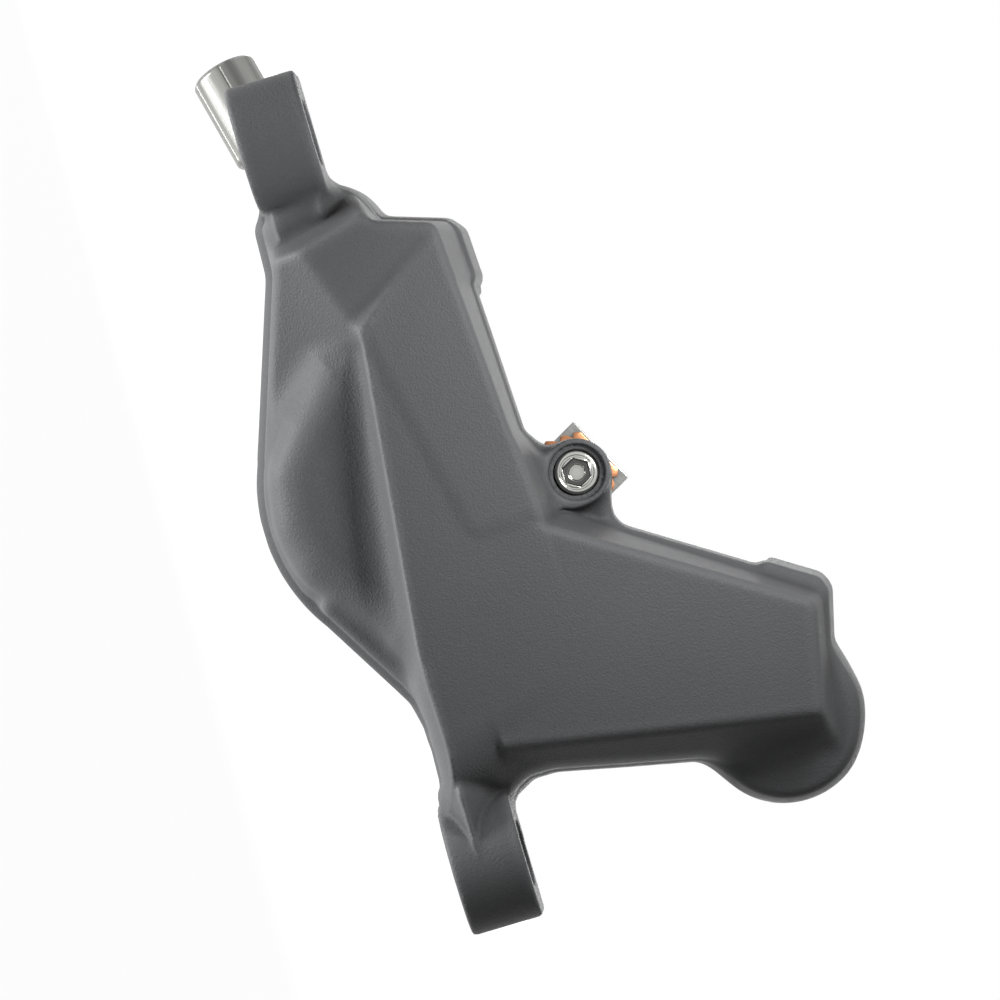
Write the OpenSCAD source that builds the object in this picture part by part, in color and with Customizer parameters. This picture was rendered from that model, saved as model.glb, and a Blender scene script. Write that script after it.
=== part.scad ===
// Four-piston hydraulic disc brake caliper for a bicycle, with its pads fitted.
// X runs down the pitch of the two post mounts, Z towards the heads of the post bolts,
// and Y is the rotor's axis, with the outboard half on the -Y side.
// The origin lies in the rotor's mid-plane, level with the post seats, midway between the posts.

/* [Post mount] */
// Distance between the two mounting posts
post_pitch = 74.2; // [73.2:0.1:75.2]
// Distance of the post bolts outboard of the rotor's mid-plane
post_offset = 15.5; // [15:0.1:16]
// Width of each mounting ear, along the pitch
ear_w = 12.5; // [11.5:0.1:13]
// Thickness of each mounting ear, under the bolt head
ear_t = 7.2; // [6.4:0.1:8]
// Width of the slot for an M6 post bolt
slot_w = 6.4; // [6.2:0.1:6.8]
// Length of the slot, which lets the caliper be centred on the rotor
slot_len = 10; // [8:0.5:11]

/* [Rotor slot and pocket] */
// Width of the slot that the rotor runs in
rotor_slot_w = 4.6; // [4.4:0.1:5]
// Radius of the slot's arched roof, clear of a 203 mm rotor
rotor_slot_r = 102.5; // [102:0.5:106]
// Distance from the pad pin down to the rotor's edge
rotor_edge = 4.2; // [4:0.1:4.6]
// Clearance between a backing plate and the pocket's side walls
pocket_gap = 0.3; // [0.2:0.05:0.5]
// Depth of the pad pocket, from the rotor's mid-plane
pocket_h = 5.8; // [5.7:0.1:6.2]

/* [Brake pads] */
// Tilt of the pads against the line of the posts, in degrees
pad_turn = 28.6; // [27:0.1:30]
// Width of a backing plate
plate_w = 38.5; // [37:0.1:39]
// Height of a backing plate's main part
plate_l = 22; // [21:0.1:22.5]
// Thickness of a backing plate
plate_t = 1.9; // [1.7:0.05:2]
// Chamfer on a backing plate's inner corners
plate_cut = 6; // [5:0.5:7]
// Width of the tab that hangs on the pad pin
tab_w = 7.75; // [7:0.25:9]
// Reach of the tab beyond the pad pin
tab_out = 3.3; // [3:0.1:3.6]
// Thickness of a new brake lining
lining_t = 2.25; // [1.8:0.05:2.3]
// Distance of a lining's face from the rotor's mid-plane, brake off
lining_gap = 1.25; // [1.15:0.05:1.35]
// Margin of bare plate round a lining
lining_margin = 1.0; // [0.8:0.1:1.5]
// Chamfer at a lining's leading and trailing edges
lining_ramp = 0.9; // [0.5:0.1:1.2]

/* [Pistons] */
// Diameter of the leading pistons
big_d = 16; // [15.5:0.1:16.2]
// Diameter of the trailing pistons
small_d = 15; // [14.5:0.1:15.5]
// Distance between the two pistons of one half
piston_pitch = 23; // [22.5:0.1:23.5]
// Distance of the pistons from the pad pin, towards the hub
piston_in = 16; // [15.5:0.1:16.5]
// Length of a piston
piston_len = 9.2; // [8.5:0.1:9.5]
// Wall of a piston's cup
piston_wall = 2.4; // [2:0.1:3]
// Depth of a piston bore, from the rotor's mid-plane
bore_h = 16.2; // [16:0.1:16.6]
// Radial running clearance between piston and bore
bore_gap = 0.05; // [0.02:0.01:0.09]
// Width of a piston seal
seal_w = 1.9; // [1.6:0.1:2.2]
// Radial depth of a seal's groove
seal_d = 1.7; // [1.4:0.1:1.8]
// Distance of a seal from the rotor's mid-plane
seal_h = 8.2; // [7.6:0.1:8.8]

/* [Pad pin] */
// Position of the pad pin down the pitch
pin_x = 2.5; // [2:0.1:3]
// Position of the pad pin above the post seats
pin_z = 22.6; // [22.2:0.1:23]
// Diameter of the pin's shank
pin_d = 3; // [2.8:0.1:3.2]
// Diameter of the pin's head
pin_head_d = 4.4; // [4.2:0.1:4.6]
// Outer diameter of the boss round the pin's head
pin_boss_d = 6.7; // [6.5:0.1:7]
// Height of that boss, from the rotor's mid-plane
pin_boss_h = 13; // [12:0.1:14]
// Thickness of the sheet of the pad spring
sheet_t = 0.35; // [0.3:0.05:0.4]
// Thickness of the clip on the pin's end
clip_t = 0.6; // [0.5:0.05:0.8]

/* [Outer half] */
// Height of the ridge where the main facets meet
ridge_h = 25; // [24.5:0.1:25.5]
// Height of the nearly level facet between the upper neck and the ridge
shelf_h = 24.2; // [22:0.1:24.5]
// Fall of the main panel towards its long edge, per mm
panel_fall = 0.28; // [0.26:0.01:0.3]
// Height of the scalloped cover over the leading piston, at its tip
cover_h = 22.7; // [22.4:0.1:23]
// Radius of the outline round the leading piston's cover
cover_r = 18; // [17.8:0.1:18.4]
// Width of the rolled shoulder round that cover
roll_w = 2.9; // [2.5:0.1:3.3]
// Height of the arm's panel at its far end
arm_h = 15.5; // [14.8:0.1:16]
// Height of the bridge blocks over the rotor's mid-plane
bridge_h = 10; // [9:0.1:10.5]
// Radius of the domed bolt boss
dome_r = 7.15; // [6.9:0.05:7.3]
// Height where the dome starts
dome_h = 5; // [4.5:0.1:5.5]

/* [Inner half] */
// Height of the covers over the inboard pistons
inner_cover_h = 19.2; // [18.8:0.1:19.6]
// Height of the inboard half's flat flank
inner_flank_h = 12; // [11.5:0.1:12.5]
// Wall round an inboard piston bore
inner_wall = 2.9; // [2.6:0.1:3]

/* [Bolts and ports] */
// Diameter of the bolts that join the halves
bolt_d = 6; // [5.5:0.1:6.2]
// Head diameter of those bolts
bolt_head_d = 9.6; // [9.2:0.1:10]
// Head height of those bolts
bolt_head_h = 4; // [3.5:0.1:4.5]
// Bore of the crossover port and the fluid galleries
port_d = 2.2; // [2:0.1:2.4]
// Thickness of the ring that seals the crossover port
ring_t = 1.4; // [1.2:0.1:1.6]
// Thread diameter of the bleed screw
bleed_d = 5; // [4.8:0.1:5.4]

/* [Hose fitting] */
// Diameter of the banjo bolt's thread
banjo_bolt_d = 6; // [5.8:0.1:6.2]
// Outer diameter of the banjo's eye
banjo_d = 10.4; // [10:0.1:10.6]
// Thickness of the banjo's eye
banjo_t = 6.6; // [6.2:0.1:7]
// Thickness of a crush washer
washer_t = 0.8; // [0.7:0.1:1]
// Outer diameter of a crush washer
washer_d = 9.4; // [9:0.1:9.6]
// Outward lean of the hose, in degrees
hose_lean = 13; // [11:0.5:15]
// Diameter of the hose nut
nut_d = 7; // [6.9:0.05:7.2]
// Length of the hose nut
nut_l = 10.2; // [9.8:0.1:10.6]
// Diameter of the hose that the nut takes
hose_d = 5; // [4.9:0.05:5.1]
// Distance from the banjo bolt's axis to the nut's open end
hose_reach = 21; // [20.5:0.1:22]

/* [Hidden] */
$fn = 64;
far = 200;
bulk = post_pitch + 50;
hair = 0.02;
thread_gap = 0.05;
half_pitch = post_pitch / 2;
ear_in = half_pitch - ear_w / 2;
slot_half = slot_w / 2;
ear_r = ear_w / 2;
ear_top = post_offset + slot_len / 2 - slot_half;
ear_low = post_offset - slot_len / 2 - 3.1;
pad_hub = rotor_slot_r - 1 + rotor_edge;
plate_out = -4;
tab_fillet = 0.9;
spring_w = 14;
plate_back = lining_gap + lining_t + plate_t;
plate_face = lining_gap + lining_t;
piston_h = plate_back + 0.1;
leading = [-piston_pitch / 2, -piston_in];
trailing = [piston_pitch / 2, -piston_in];
window = plate_w / 2 + pocket_gap;
upper_bolt = [-24.5, 1];
lower_bolt = [32.15, -3.1];
port = [24, 4.2];
banjo_at = [-28, 3.6];
hose_turn = 13.5;
banjo_face = 14.5;
fork_at = [-0.46, 9.09];
gallery_h = 14;
link_h = bore_h - port_d / 2 - 0.4;
port_h = 7.6;
rib_d = 5;
banjo_feed = [lift(banjo_at, 7.6), [-7, 3.2, 12.2]];

// Draws in the plane of the rotor: x down the pitch, y up to the bolt heads, z away from the rotor
module outboard() { rotate([90, 0, 0]) children(); }
module inboard() { mirror([0, 1, 0]) rotate([90, 0, 0]) children(); }

// Draws on the pads' own lines: x along the rotor's edge, y away from the hub, from the pad pin
module on_pad() { translate([pin_x, pin_z, 0]) rotate(pad_turn) children(); }

function pad_point(p) = [pin_x, pin_z] + [p.x * cos(pad_turn) - p.y * sin(pad_turn),
    p.x * sin(pad_turn) + p.y * cos(pad_turn)];

function lift(p, h) = [p.x, p.y, h];

// Everything under the sloping plane through three points
module under(a, b, c) {
    n0 = cross(b - a, c - a);
    n = n0 * sign(n0.z) / norm(n0);
    translate(a) rotate([0, 0, atan2(n.y, n.x)]) rotate([0, acos(n.z), 0])
        translate([-far / 2, -far / 2, -far]) cube(far);
}

// A column over an outline, open above for sloping planes to cut
module column(points, h = 32) { linear_extrude(h) polygon(points); }

// Landmarks of the outboard face, as [x, z]
tip = [-23.8, 16.2];
shelf = [-25.6, 2.9];
fork = [-16.4, 6.5];
bend = [15, 3];
vee = [half_pitch - 1.7, 2.9];
elbow = [6.6, 18.3];
arm_end = [21.3, 41.6];
arm_toe = [32.4, 39.3];
arm_heel = [29.1, 21.3];
dome = [32.2, 35.3];
knob = [4.1 - ear_in - 0.4, 6.2];
apex = [-13.4, 2.8];

function panel_h(p) = ridge_h - 0.04 * (p.x - fork.x) - panel_fall * (p.y - fork.y);
function cover_at(p) = cover_h - 0.2 * (p.x - apex.x) + 0.05 * (p.y - apex.y);
function arm_at(p) = panel_h(elbow) + (arm_h - panel_h(elbow)) * (p.y - elbow.y) / (arm_end.y - elbow.y);

outline = [[-ear_in - 0.4, ear_t], knob, [-27.2, 10.8], [-25.1, 17.2], [-23.9, 18.2], [-19.1, 18.4],
    [-18.4, 17.8], [-2.6, 18.4], [-0.5, 20.5], [pin_x, pin_z], [5.4, 24.7], [8.75, 24.9],
    [16.5, 37], [16.3, 38.1], [19.3, 42.8], [20.6, 43.2], [26, 41.8], [32.2, 42.4], dome, [33.3, 27],
    [31.6, 19], [30.1, 12.2], [30.1, 9.6], [ear_in + 0.5, ear_t], [ear_in + 0.5, 0.2],
    [29.9, 1], [25, 1.2], [22.5, 1], [19.8, 0.3], [8.6, -6.4], [-6.3, -7.96], [-24.9, -1.5],
    [1.2 - ear_in, -1.3], [-ear_in - 0.4, 0.4]];

// Outline of both halves where they meet, with its fillets and round bosses
module half_outline() {
    difference() {
        union() {
            polygon(outline);
            intersection() {
                translate(fork_at) circle(cover_r);
                translate([-25, -30]) square([50, 35]);
            }
            translate(knob) circle(4.1);
            translate([pin_x, pin_z]) circle(d = pin_boss_d);
            translate(dome) circle(dome_r);
        }
        translate([-2.6, 20.5]) circle(2.1);
        translate([7, 25.9]) circle(2);
    }
}

// Main panel, with the facet above its tip and the drafted flank along its long edge
module main_panel() {
    p1 = lift(tip, panel_h(tip));
    p2 = lift(fork, panel_h(fork));
    p3 = lift(elbow, panel_h(elbow));
    p4 = lift(bend, panel_h(bend));
    p5 = lift(vee, panel_h(vee) - 0.9);
    intersection() {
        column([[-27.2, 10.8], [-25.1, 17.2], [-23.9, 18.2], [-18.4, 17.9], [elbow.x + 2, 19.4], [20, 22],
            [28.9, 20], [28.4, 10.2], [vee.x, vee.y + 0.2], [vee.x, vee.y - 0.6], [bend.x, 0.4],
            [fork.x, 3.2], [-26.2, 2.7]]);
        under(p1, p2, p3);
        under(p1, p2, lift(shelf, shelf_h));
        neck_wall();
        under(p1, p3, [tip.x, 18.1, 9]);
        under(p2, p4, [0.5, 1.9, 19]);
        under(p4, p5, [26, 1.2, 14]);
        under([28.4, 10.2, 23], p5, [30.6, 8.6, 15]);
    }
}

// Everything under the steep wall that drops from that facet to the upper neck
module neck_wall() {
    under(lift(shelf, shelf_h), [-27, 8.5, shelf_h - 0.6], [-27.9, 4.5, shelf_h - 6.2]);
}

// Sloping facet that rises from the fork side to the ridge
module fork_facet() {
    p2 = lift(fork, ridge_h);
    p5 = lift(shelf, shelf_h);
    intersection() {
        column([[-ear_in, -1.3], [-24.9, -1.5], [-6.3, -7.96], [4, -8], [4, 3], [fork.x + 1.5, fork.y],
            [-26.2, 5]]);
        under(p2, p5, [-10.45, -5.5, 16.5]);
        under(lift(tip, panel_h(tip)), p2, p5);
        neck_wall();
        cover_limit();
    }
}

// Everything under the nearly level top of the leading piston's cover
module cover_limit() {
    under(lift(apex, cover_at(apex)), lift([0, 0], cover_at([0, 0])), lift([8, -4], cover_at([8, -4])));
}

// Cover over the leading piston, with a rolled shoulder that follows the outline
module piston_cover() {
    top = cover_h + 0.5;
    side = top - 7.5;
    intersection() {
        translate(fork_at) rotate_extrude() polygon(concat([[0, 0], [cover_r, 0], [cover_r, side]],
            [for (a = [10:10:90]) [cover_r - roll_w * 1.6 * (1 - cos(a)), side + (top - side) * sin(a)]],
            [[0, top]]));
        column([[-14, 4], [-14, -12], [16, -12], [16, 3.4], [0, 4]]);
        cover_limit();
    }
}

// Lower flank between that cover and the lower ear
module lower_flank() {
    intersection() {
        column([[7, -7.3], [8.6, -6.4], [19.8, 0.3], [22.5, 1], [22.5, 3], [7, 3]]);
        under([8.6, -6.4, 14], [19.8, 0.3, 14.5], [14, 2.2, 20]);
    }
}

// Roof-shaped neck that dies into the face of the lower ear
module lower_neck() {
    top = lift([20, 3], panel_h([20, 3]));
    end = lift(vee, ear_top + ear_r - 0.3);
    intersection() {
        column([[19.8, 0.3], [25, 1.2], [ear_in + 0.2, 0.2], [vee.x, 0.4], [vee.x, ear_t],
            [ear_in + 0.2, ear_t], [30.1, 9.6], [28, 12], [20, 8]]);
        under(top, end, [ear_in, 0.5, 16.5]);
        under(top, end, [ear_in, ear_t + 0.2, 15]);
    }
}

// Arm that reaches over the rotor to the lower bridge, with drafted flanks
module arm() {
    a = lift(elbow, arm_at(elbow));
    b = lift(arm_end, arm_at(arm_end) + 0.2);
    c = lift(arm_toe, arm_at(arm_toe) - 0.4);
    d = lift(arm_heel, arm_at(arm_heel) - 0.2);
    intersection() {
        column([[elbow.x - 3, 15], [elbow.x - 1.5, 20.4], [8.7, 24.9], [16.5, 37], [19.5, 41.8], [21.3, 42.7],
            [26, 41.6], [33.4, 39.7], [33.3, 27], [31.6, 19], [30.1, 12.2], [29.5, 10]]);
        under(a, b, d);
        under(a, b, [8.7, 24.9, 9]);
        under(c, d, [33.3, 27, 13]);
        under(d, lift([28.4, 10.2], 22.8), [30.1, 12.2, 14]);
        under(b, c, [26, 41.8, 9]);
    }
}

// Mounting ear with a full round end
module ear(side) {
    translate([side * half_pitch, 0, 0]) {
        translate([0, -ear_top, 0]) cylinder(h = ear_t, r = ear_r);
        translate([-ear_r, -ear_top, 0]) cube([ear_w, ear_top - ear_low, ear_t]);
    }
}

// Slot of a mounting ear, round at both ends
module slot() {
    reach = slot_len / 2 - slot_half;
    translate([0, -post_offset, -1]) {
        for (s = [-1, 1]) translate([0, s * reach, 0]) cylinder(h = ear_t + 2, r = slot_half);
        translate([-slot_half, -reach, 0]) cube([slot_w, 2 * reach, ear_t + 2]);
    }
}

// Neck that carries the upper ear
module upper_neck() {
    face = 18.6;
    intersection() {
        column([[-ear_in - 1.5, 0.1], [-ear_in + 2, 0.3], [-22, 0.6], [-20, 7], [-26, 7.3], [-ear_in - 1.5, ear_t]]);
        under([-ear_in, 1.2, face], [-26, 1.2, face - 0.3], [-26, 6.6, face]);
        under([-ear_in, 1.2, face], [-26, 1.2, face - 0.3], [-26, 0, 14]);
        under([-ear_in, 6.5, face], [-26, 6.2, face], [-26, ear_t + 0.4, 14]);
    }
}

// Slot for the rotor, with a roof that follows the rotor's edge
module rotor_path() {
    on_pad() translate([0, -pad_hub, -rotor_slot_w / 2]) cylinder(h = rotor_slot_w, r = rotor_slot_r, $fn = 128);
}

// Pocket for one pad, open to the window above
module pad_pocket() {
    low = plate_out - plate_l - pocket_gap;
    on_pad() translate([0, 0, -1]) {
        linear_extrude(pocket_h + 1) polygon([[-window, 20], [-window, low + plate_cut], [plate_cut - window, low],
            [window - plate_cut, low], [window, low + plate_cut], [window, 20]]);
        translate([-spring_w / 2, plate_out, 0]) cube([spring_w, 13, plate_back + 3 * sheet_t + 1]);
    }
}

// Bore for one piston, with its seal's groove
module piston_bore(d) {
    translate([0, 0, pocket_h - 1]) cylinder(h = bore_h - pocket_h + 1, r = d / 2 + bore_gap);
    translate([0, 0, seal_h - 0.1]) cylinder(h = seal_w + 0.2, r = d / 2 + seal_d + 0.1);
}

// A straight drilling or rib between two points
module drill(a, b, d) {
    v = b - a;
    translate(a) rotate([0, acos(v.z / norm(v)), atan2(v.y, v.x)]) cylinder(h = norm(v), d = d);
}

// Bores of one half, with the drillings that join them to each other and to the crossover port
module hydraulics() {
    on_pad() {
        translate(leading) piston_bore(big_d);
        translate(trailing) piston_bore(small_d);
        drill(lift(leading, link_h), lift(trailing, link_h), port_d);
        drill(lift(trailing, gallery_h), lift(port, port_h), port_d);
        translate([port.x, port.y, -1]) cylinder(h = port_h + 1.5, d = port_d);
    }
}

module outer_half() {
    color("#3d4042") {
        difference() {
            union() {
                outboard() {
                    linear_extrude(bridge_h) half_outline();
                    main_panel();
                    fork_facet();
                    piston_cover();
                    lower_flank();
                    lower_neck();
                    arm();
                    upper_neck();
                    translate(lift(knob, 0)) cylinder(h = 12.5, r = 4.1);
                    translate(lift(dome, dome_h)) sphere(dome_r);
                    translate([pin_x, pin_z, 0]) {
                        cylinder(h = pin_boss_h, d = pin_boss_d);
                        translate([0, 0, bridge_h - 1]) cylinder(h = 3, r1 = pin_boss_d / 2 + 3, r2 = pin_boss_d / 2);
                    }
                }
                for (side = [-1, 1]) ear(side);
            }
            for (side = [-1, 1]) translate([side * half_pitch, 0, 0]) slot();
            translate([-bulk / 2, 0, -bulk / 4]) cube(bulk);
            outboard() {
                rotor_path();
                pad_pocket();
                hydraulics();
                on_pad() {
                    translate([0, 0, -1]) cylinder(h = 30, d = pin_d + 2 * thread_gap);
                    translate([0, 0, pin_boss_h - 2.6]) cylinder(h = 10, d = pin_head_d + 2 * thread_gap);
                    translate([0, 0, pin_boss_h - 0.5]) cylinder(h = 10, d = pin_boss_d - 1.1);
                    translate([upper_bolt.x, upper_bolt.y, -1]) cylinder(h = 12, d = bolt_d + 2 * thread_gap);
                    translate([lower_bolt.x, lower_bolt.y, -1]) cylinder(h = 9.5, d = bolt_d + 2 * thread_gap);
                }
            }
        }
    }
}

// Wing of the inboard half over the pistons and the upper bridge
module inner_wing() {
    edge = 7.5;
    intersection() {
        linear_extrude(inner_flank_h) half_outline();
        column([[-40, -20], [40, -20], [40, 20], [8, 20], [-8, 19.5], [-40, 19.5]]);
        under([-24.9, -1.5, edge], [-6.3, -7.96, edge], [-15, 0, 13.5]);
        under([-18.4, 17.8, edge], [-2.6, 18.4, edge], [-10, 12, 13.5]);
        under([-27.2, 10.8, edge], [-25.1, 17.2, edge], [-20, 12, 13.5]);
    }
}

// Wing of the inboard half that reaches over the rotor to the lower bridge
module inner_arm() {
    edge = 7.5;
    intersection() {
        linear_extrude(inner_flank_h) half_outline();
        column([[3, 5], [40, 5], [45, 50], [15, 50], [3, 21]]);
        under([8.7, 24.9, edge], [16.5, 37, edge], [18, 27, 13.5]);
        under([33.3, 27, edge], [31.6, 19, edge], [26, 24, 13.5]);
        under([20.6, 43.2, edge], [26, 41.8, edge], [22, 36, 13.5]);
    }
}

// Cover over an inboard piston, with a rolled shoulder
module inner_cover(d) {
    r = d / 2 + inner_wall;
    rotate_extrude() polygon(concat([[0, 0], [r, 0], [r, inner_cover_h - 3]],
        [for (a = [15:15:90]) [r - 3 * (1 - cos(a)), inner_cover_h - 3 + 3 * sin(a)]], [[0, inner_cover_h]]));
}

// Place and lean of the hose, from the banjo's centre
module on_banjo() {
    translate([banjo_at.x, banjo_at.y, banjo_face + washer_t + banjo_t / 2]) children();
}

module on_hose() {
    on_banjo() rotate([0, 0, 180 + hose_turn]) rotate([0, 90 - hose_lean, 0]) children();
}

module inner_half() {
    color("#3d4042") difference() {
        inboard() union() {
            inner_wing();
            inner_arm();
            on_pad() {
                translate(leading) inner_cover(big_d);
                translate(trailing) inner_cover(small_d);
                translate([leading.x, leading.y - 4, 0]) cube([piston_pitch, 8, inner_cover_h - 1.2]);
                translate([upper_bolt.x, upper_bolt.y, 0]) cylinder(h = inner_flank_h + 2.4, d = bolt_head_d + 2.4);
                translate([lower_bolt.x, lower_bolt.y, 0]) cylinder(h = inner_flank_h + 2.4, d = bolt_head_d + 2.4);
                translate([port.x, port.y, 0]) cylinder(h = inner_flank_h + 1, d = bleed_d + 4);
                cylinder(h = inner_flank_h - 1.5, d = pin_boss_d);
                drill(lift(trailing, gallery_h - 1), lift(port, port_h + 1.4), rib_d);
            }
            drill(banjo_feed[0] + [0, 0, 1], banjo_feed[1], rib_d);
            translate(lift(banjo_at, 0)) cylinder(h = banjo_face, d = banjo_d + 0.2);
        }
        translate([-bulk / 2, -bulk, -bulk / 4]) cube(bulk);
        inboard() {
            rotor_path();
            pad_pocket();
            hydraulics();
            on_pad() {
                translate([0, 0, -1]) cylinder(h = 30, d = pin_d + 2 * thread_gap);
                for (b = [upper_bolt, lower_bolt]) translate([b.x, b.y, -1]) {
                    cylinder(h = 30, d = bolt_d + 0.3);
                    translate([0, 0, inner_flank_h - 0.6]) cylinder(h = 10, d = bolt_head_d + 0.4);
                }
                translate([port.x, port.y, port_h + 1]) cylinder(h = 12, d = bleed_d + 2 * thread_gap);
                translate([port.x, port.y, -1]) cylinder(h = 1 + ring_t * 0.8, d = port_d + 2 * ring_t + 0.6);
            }
            translate([banjo_at.x, banjo_at.y, 6.5]) cylinder(h = 20, d = banjo_bolt_d + 2 * thread_gap);
            drill(banjo_feed[0], banjo_feed[1], port_d);
        }
    }
}

// Socket head screw that stands up from its head's seat
module socket_screw(d, head_d, head_h, reach, socket) {
    difference() {
        union() {
            cylinder(h = head_h - 0.4, d = head_d);
            translate([0, 0, head_h - 0.4]) cylinder(h = 0.4, d1 = head_d, d2 = head_d - 0.8);
            translate([0, 0, -reach + 0.5]) cylinder(h = reach, d = d);
            translate([0, 0, -reach]) cylinder(h = 0.5, d1 = d - 1, d2 = d);
        }
        translate([0, 0, head_h * 0.35]) cylinder(h = head_h, d = socket / cos(30), $fn = 6);
    }
}

module body_bolts() {
    color("#6f7377") inboard() on_pad() {
        translate([upper_bolt.x, upper_bolt.y, inner_flank_h - 1.6])
            socket_screw(bolt_d, bolt_head_d, bolt_head_h, inner_flank_h + 8.6, 5);
        translate([lower_bolt.x, lower_bolt.y, inner_flank_h - 1.6])
            socket_screw(bolt_d, bolt_head_d, bolt_head_h, inner_flank_h + 6, 5);
    }
}

module crossover_seal() {
    color("#1c1c1c") inboard() on_pad() translate([port.x, port.y, hair])
        rotate_extrude() translate([port_d / 2 + ring_t / 2 + 0.1, ring_t * 0.35]) intersection() {
            circle(ring_t / 2);
            square([ring_t, ring_t * 0.7], center = true);
        }
}

// Cup-shaped piston, open towards the pad
module piston(d) {
    r = d / 2;
    translate([0, 0, piston_h]) rotate_extrude() polygon([[r - piston_wall, 0], [r - 0.2, 0], [r, 0.2],
        [r, piston_len - 0.6], [r - 0.6, piston_len], [0, piston_len], [0, piston_len - 2],
        [r - piston_wall, piston_len - 2]]);
}

module outer_leading_piston() { color("#d8d5cc") outboard() on_pad() translate(leading) piston(big_d); }
module outer_trailing_piston() { color("#d8d5cc") outboard() on_pad() translate(trailing) piston(small_d); }
module inner_leading_piston() { color("#d8d5cc") inboard() on_pad() translate(leading) piston(big_d); }
module inner_trailing_piston() { color("#d8d5cc") inboard() on_pad() translate(trailing) piston(small_d); }

// Square-cut ring that seals a piston
module seal(d) {
    translate([0, 0, seal_h]) rotate_extrude() translate([d / 2 + bore_gap, 0]) square([seal_d, seal_w]);
}

module outer_leading_seal() { color("#222222") outboard() on_pad() translate(leading) seal(big_d); }
module outer_trailing_seal() { color("#222222") outboard() on_pad() translate(trailing) seal(small_d); }
module inner_leading_seal() { color("#222222") inboard() on_pad() translate(leading) seal(big_d); }
module inner_trailing_seal() { color("#222222") inboard() on_pad() translate(trailing) seal(small_d); }

// Backing plate with its tab, drilled for the pad pin
module pad_plate() {
    w = plate_w / 2;
    low = plate_out - plate_l;
    tab = tab_w / 2;
    foot = tab + tab_fillet;
    on_pad() translate([0, 0, plate_face]) difference() {
        linear_extrude(plate_t) polygon([[-tab, tab_out], [-tab, plate_out + tab_fillet], [-foot, plate_out],
            [-w, plate_out], [-w, low + plate_cut], [plate_cut - w, low], [w - plate_cut, low],
            [w, low + plate_cut], [w, plate_out], [foot, plate_out], [tab, plate_out + tab_fillet],
            [tab, tab_out]]);
        translate([0, 0, -1]) cylinder(h = plate_t + 2, d = pin_d + 0.5);
    }
}

// Lining bonded to a plate, chamfered at its leading and trailing edges
module lining() {
    m = lining_margin;
    w = plate_w / 2 - m;
    top = plate_out - m;
    low = plate_out - plate_l + m;
    on_pad() intersection() {
        translate([0, 0, lining_gap]) linear_extrude(lining_t) polygon([[-w, top], [-w, low + plate_cut],
            [plate_cut - w, low], [w - plate_cut, low], [w, low + plate_cut], [w, top]]);
        translate([0, 0, lining_gap]) rotate([90, 0, 0]) linear_extrude(far, center = true)
            polygon([[lining_ramp - w, 0], [w - lining_ramp, 0], [w, lining_ramp], [w, lining_t],
                [-w, lining_t], [-w, lining_ramp]]);
    }
}

module outer_pad_plate() { color("#b9bbb8") outboard() pad_plate(); }
module inner_pad_plate() { color("#b9bbb8") inboard() pad_plate(); }
module outer_lining() { color("#5b5048") outboard() lining(); }
module inner_lining() { color("#5b5048") inboard() lining(); }

// Outline of the spring's end sheet beside the pin, on one side of its middle
lobes = [[0, 3], [2.6, 3.1], [3.1, 2.6], [2.75, 2.1], [3.5, 1.8], [3.75, 1.3], [3.3, 0.9], [3.9, 0.55],
    [4.45, 0], [4.3, -0.6], [3.9, -0.9], [4.3, -1.5], [6.2, -2.2], [6.2, -3.6], [0, -3.6]];

// Half of the spring: an end sheet on the pin, arms over the plate, a strip and two legs
module spring_side() {
    strip = plate_out + 0.3;
    leg = plate_w / 2 - lining_margin + 0.3;
    front = plate_back + sheet_t;
    translate([0, 0, front]) difference() {
        linear_extrude(sheet_t) for (m = [0, 1]) mirror([m, 0]) polygon(lobes);
        translate([0, 0, -1]) cylinder(h = 3, d = pin_d + 0.4);
    }
    for (m = [0, 1]) mirror([m, 0, 0]) {
        translate([tab_w / 2 + tab_fillet, strip, 0]) cube([6.2 - tab_w / 2 - tab_fillet, sheet_t, front + sheet_t]);
        translate([0, strip, 0]) cube([leg + sheet_t, sheet_t, plate_face - 0.3]);
        translate([leg, strip - 10, lining_gap + 0.2]) cube([sheet_t, 10 + sheet_t, plate_face - lining_gap - 0.5]);
    }
}

module pad_spring() {
    color("#b8703f") for (s = [0, 1]) mirror([0, s, 0]) outboard() on_pad() spring_side();
}

// Pin that the pads hang on, with a hexagon socket and a groove for its clip
module pad_pin() {
    seat = pin_boss_h - 2.6;
    tail = inner_flank_h + 1.2;
    neck_h = inner_flank_h - 1.4;
    color("#b9bbb8") outboard() on_pad() difference() {
        union() {
            translate([0, 0, seat]) cylinder(h = 2.2, d = pin_head_d);
            translate([0, 0, seat + 2.2]) cylinder(h = 0.3, d1 = pin_head_d, d2 = pin_head_d - 0.6);
            translate([0, 0, -tail]) cylinder(h = seat + tail + 0.5, d = pin_d);
            translate([0, 0, -tail - 0.5]) cylinder(h = 0.5, d1 = pin_d - 1, d2 = pin_d);
        }
        translate([0, 0, seat + 0.7]) cylinder(h = 3, d = 2.5 / cos(30), $fn = 6);
        translate([0, 0, seat + 0.1]) cylinder(h = 2, d = 1.6);
        translate([0, 0, -neck_h - clip_t - 0.1]) difference() {
            cylinder(h = clip_t + 0.1, d = pin_d + 2);
            cylinder(h = clip_t + 0.1, d = pin_d - 0.8);
        }
    }
}

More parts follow.
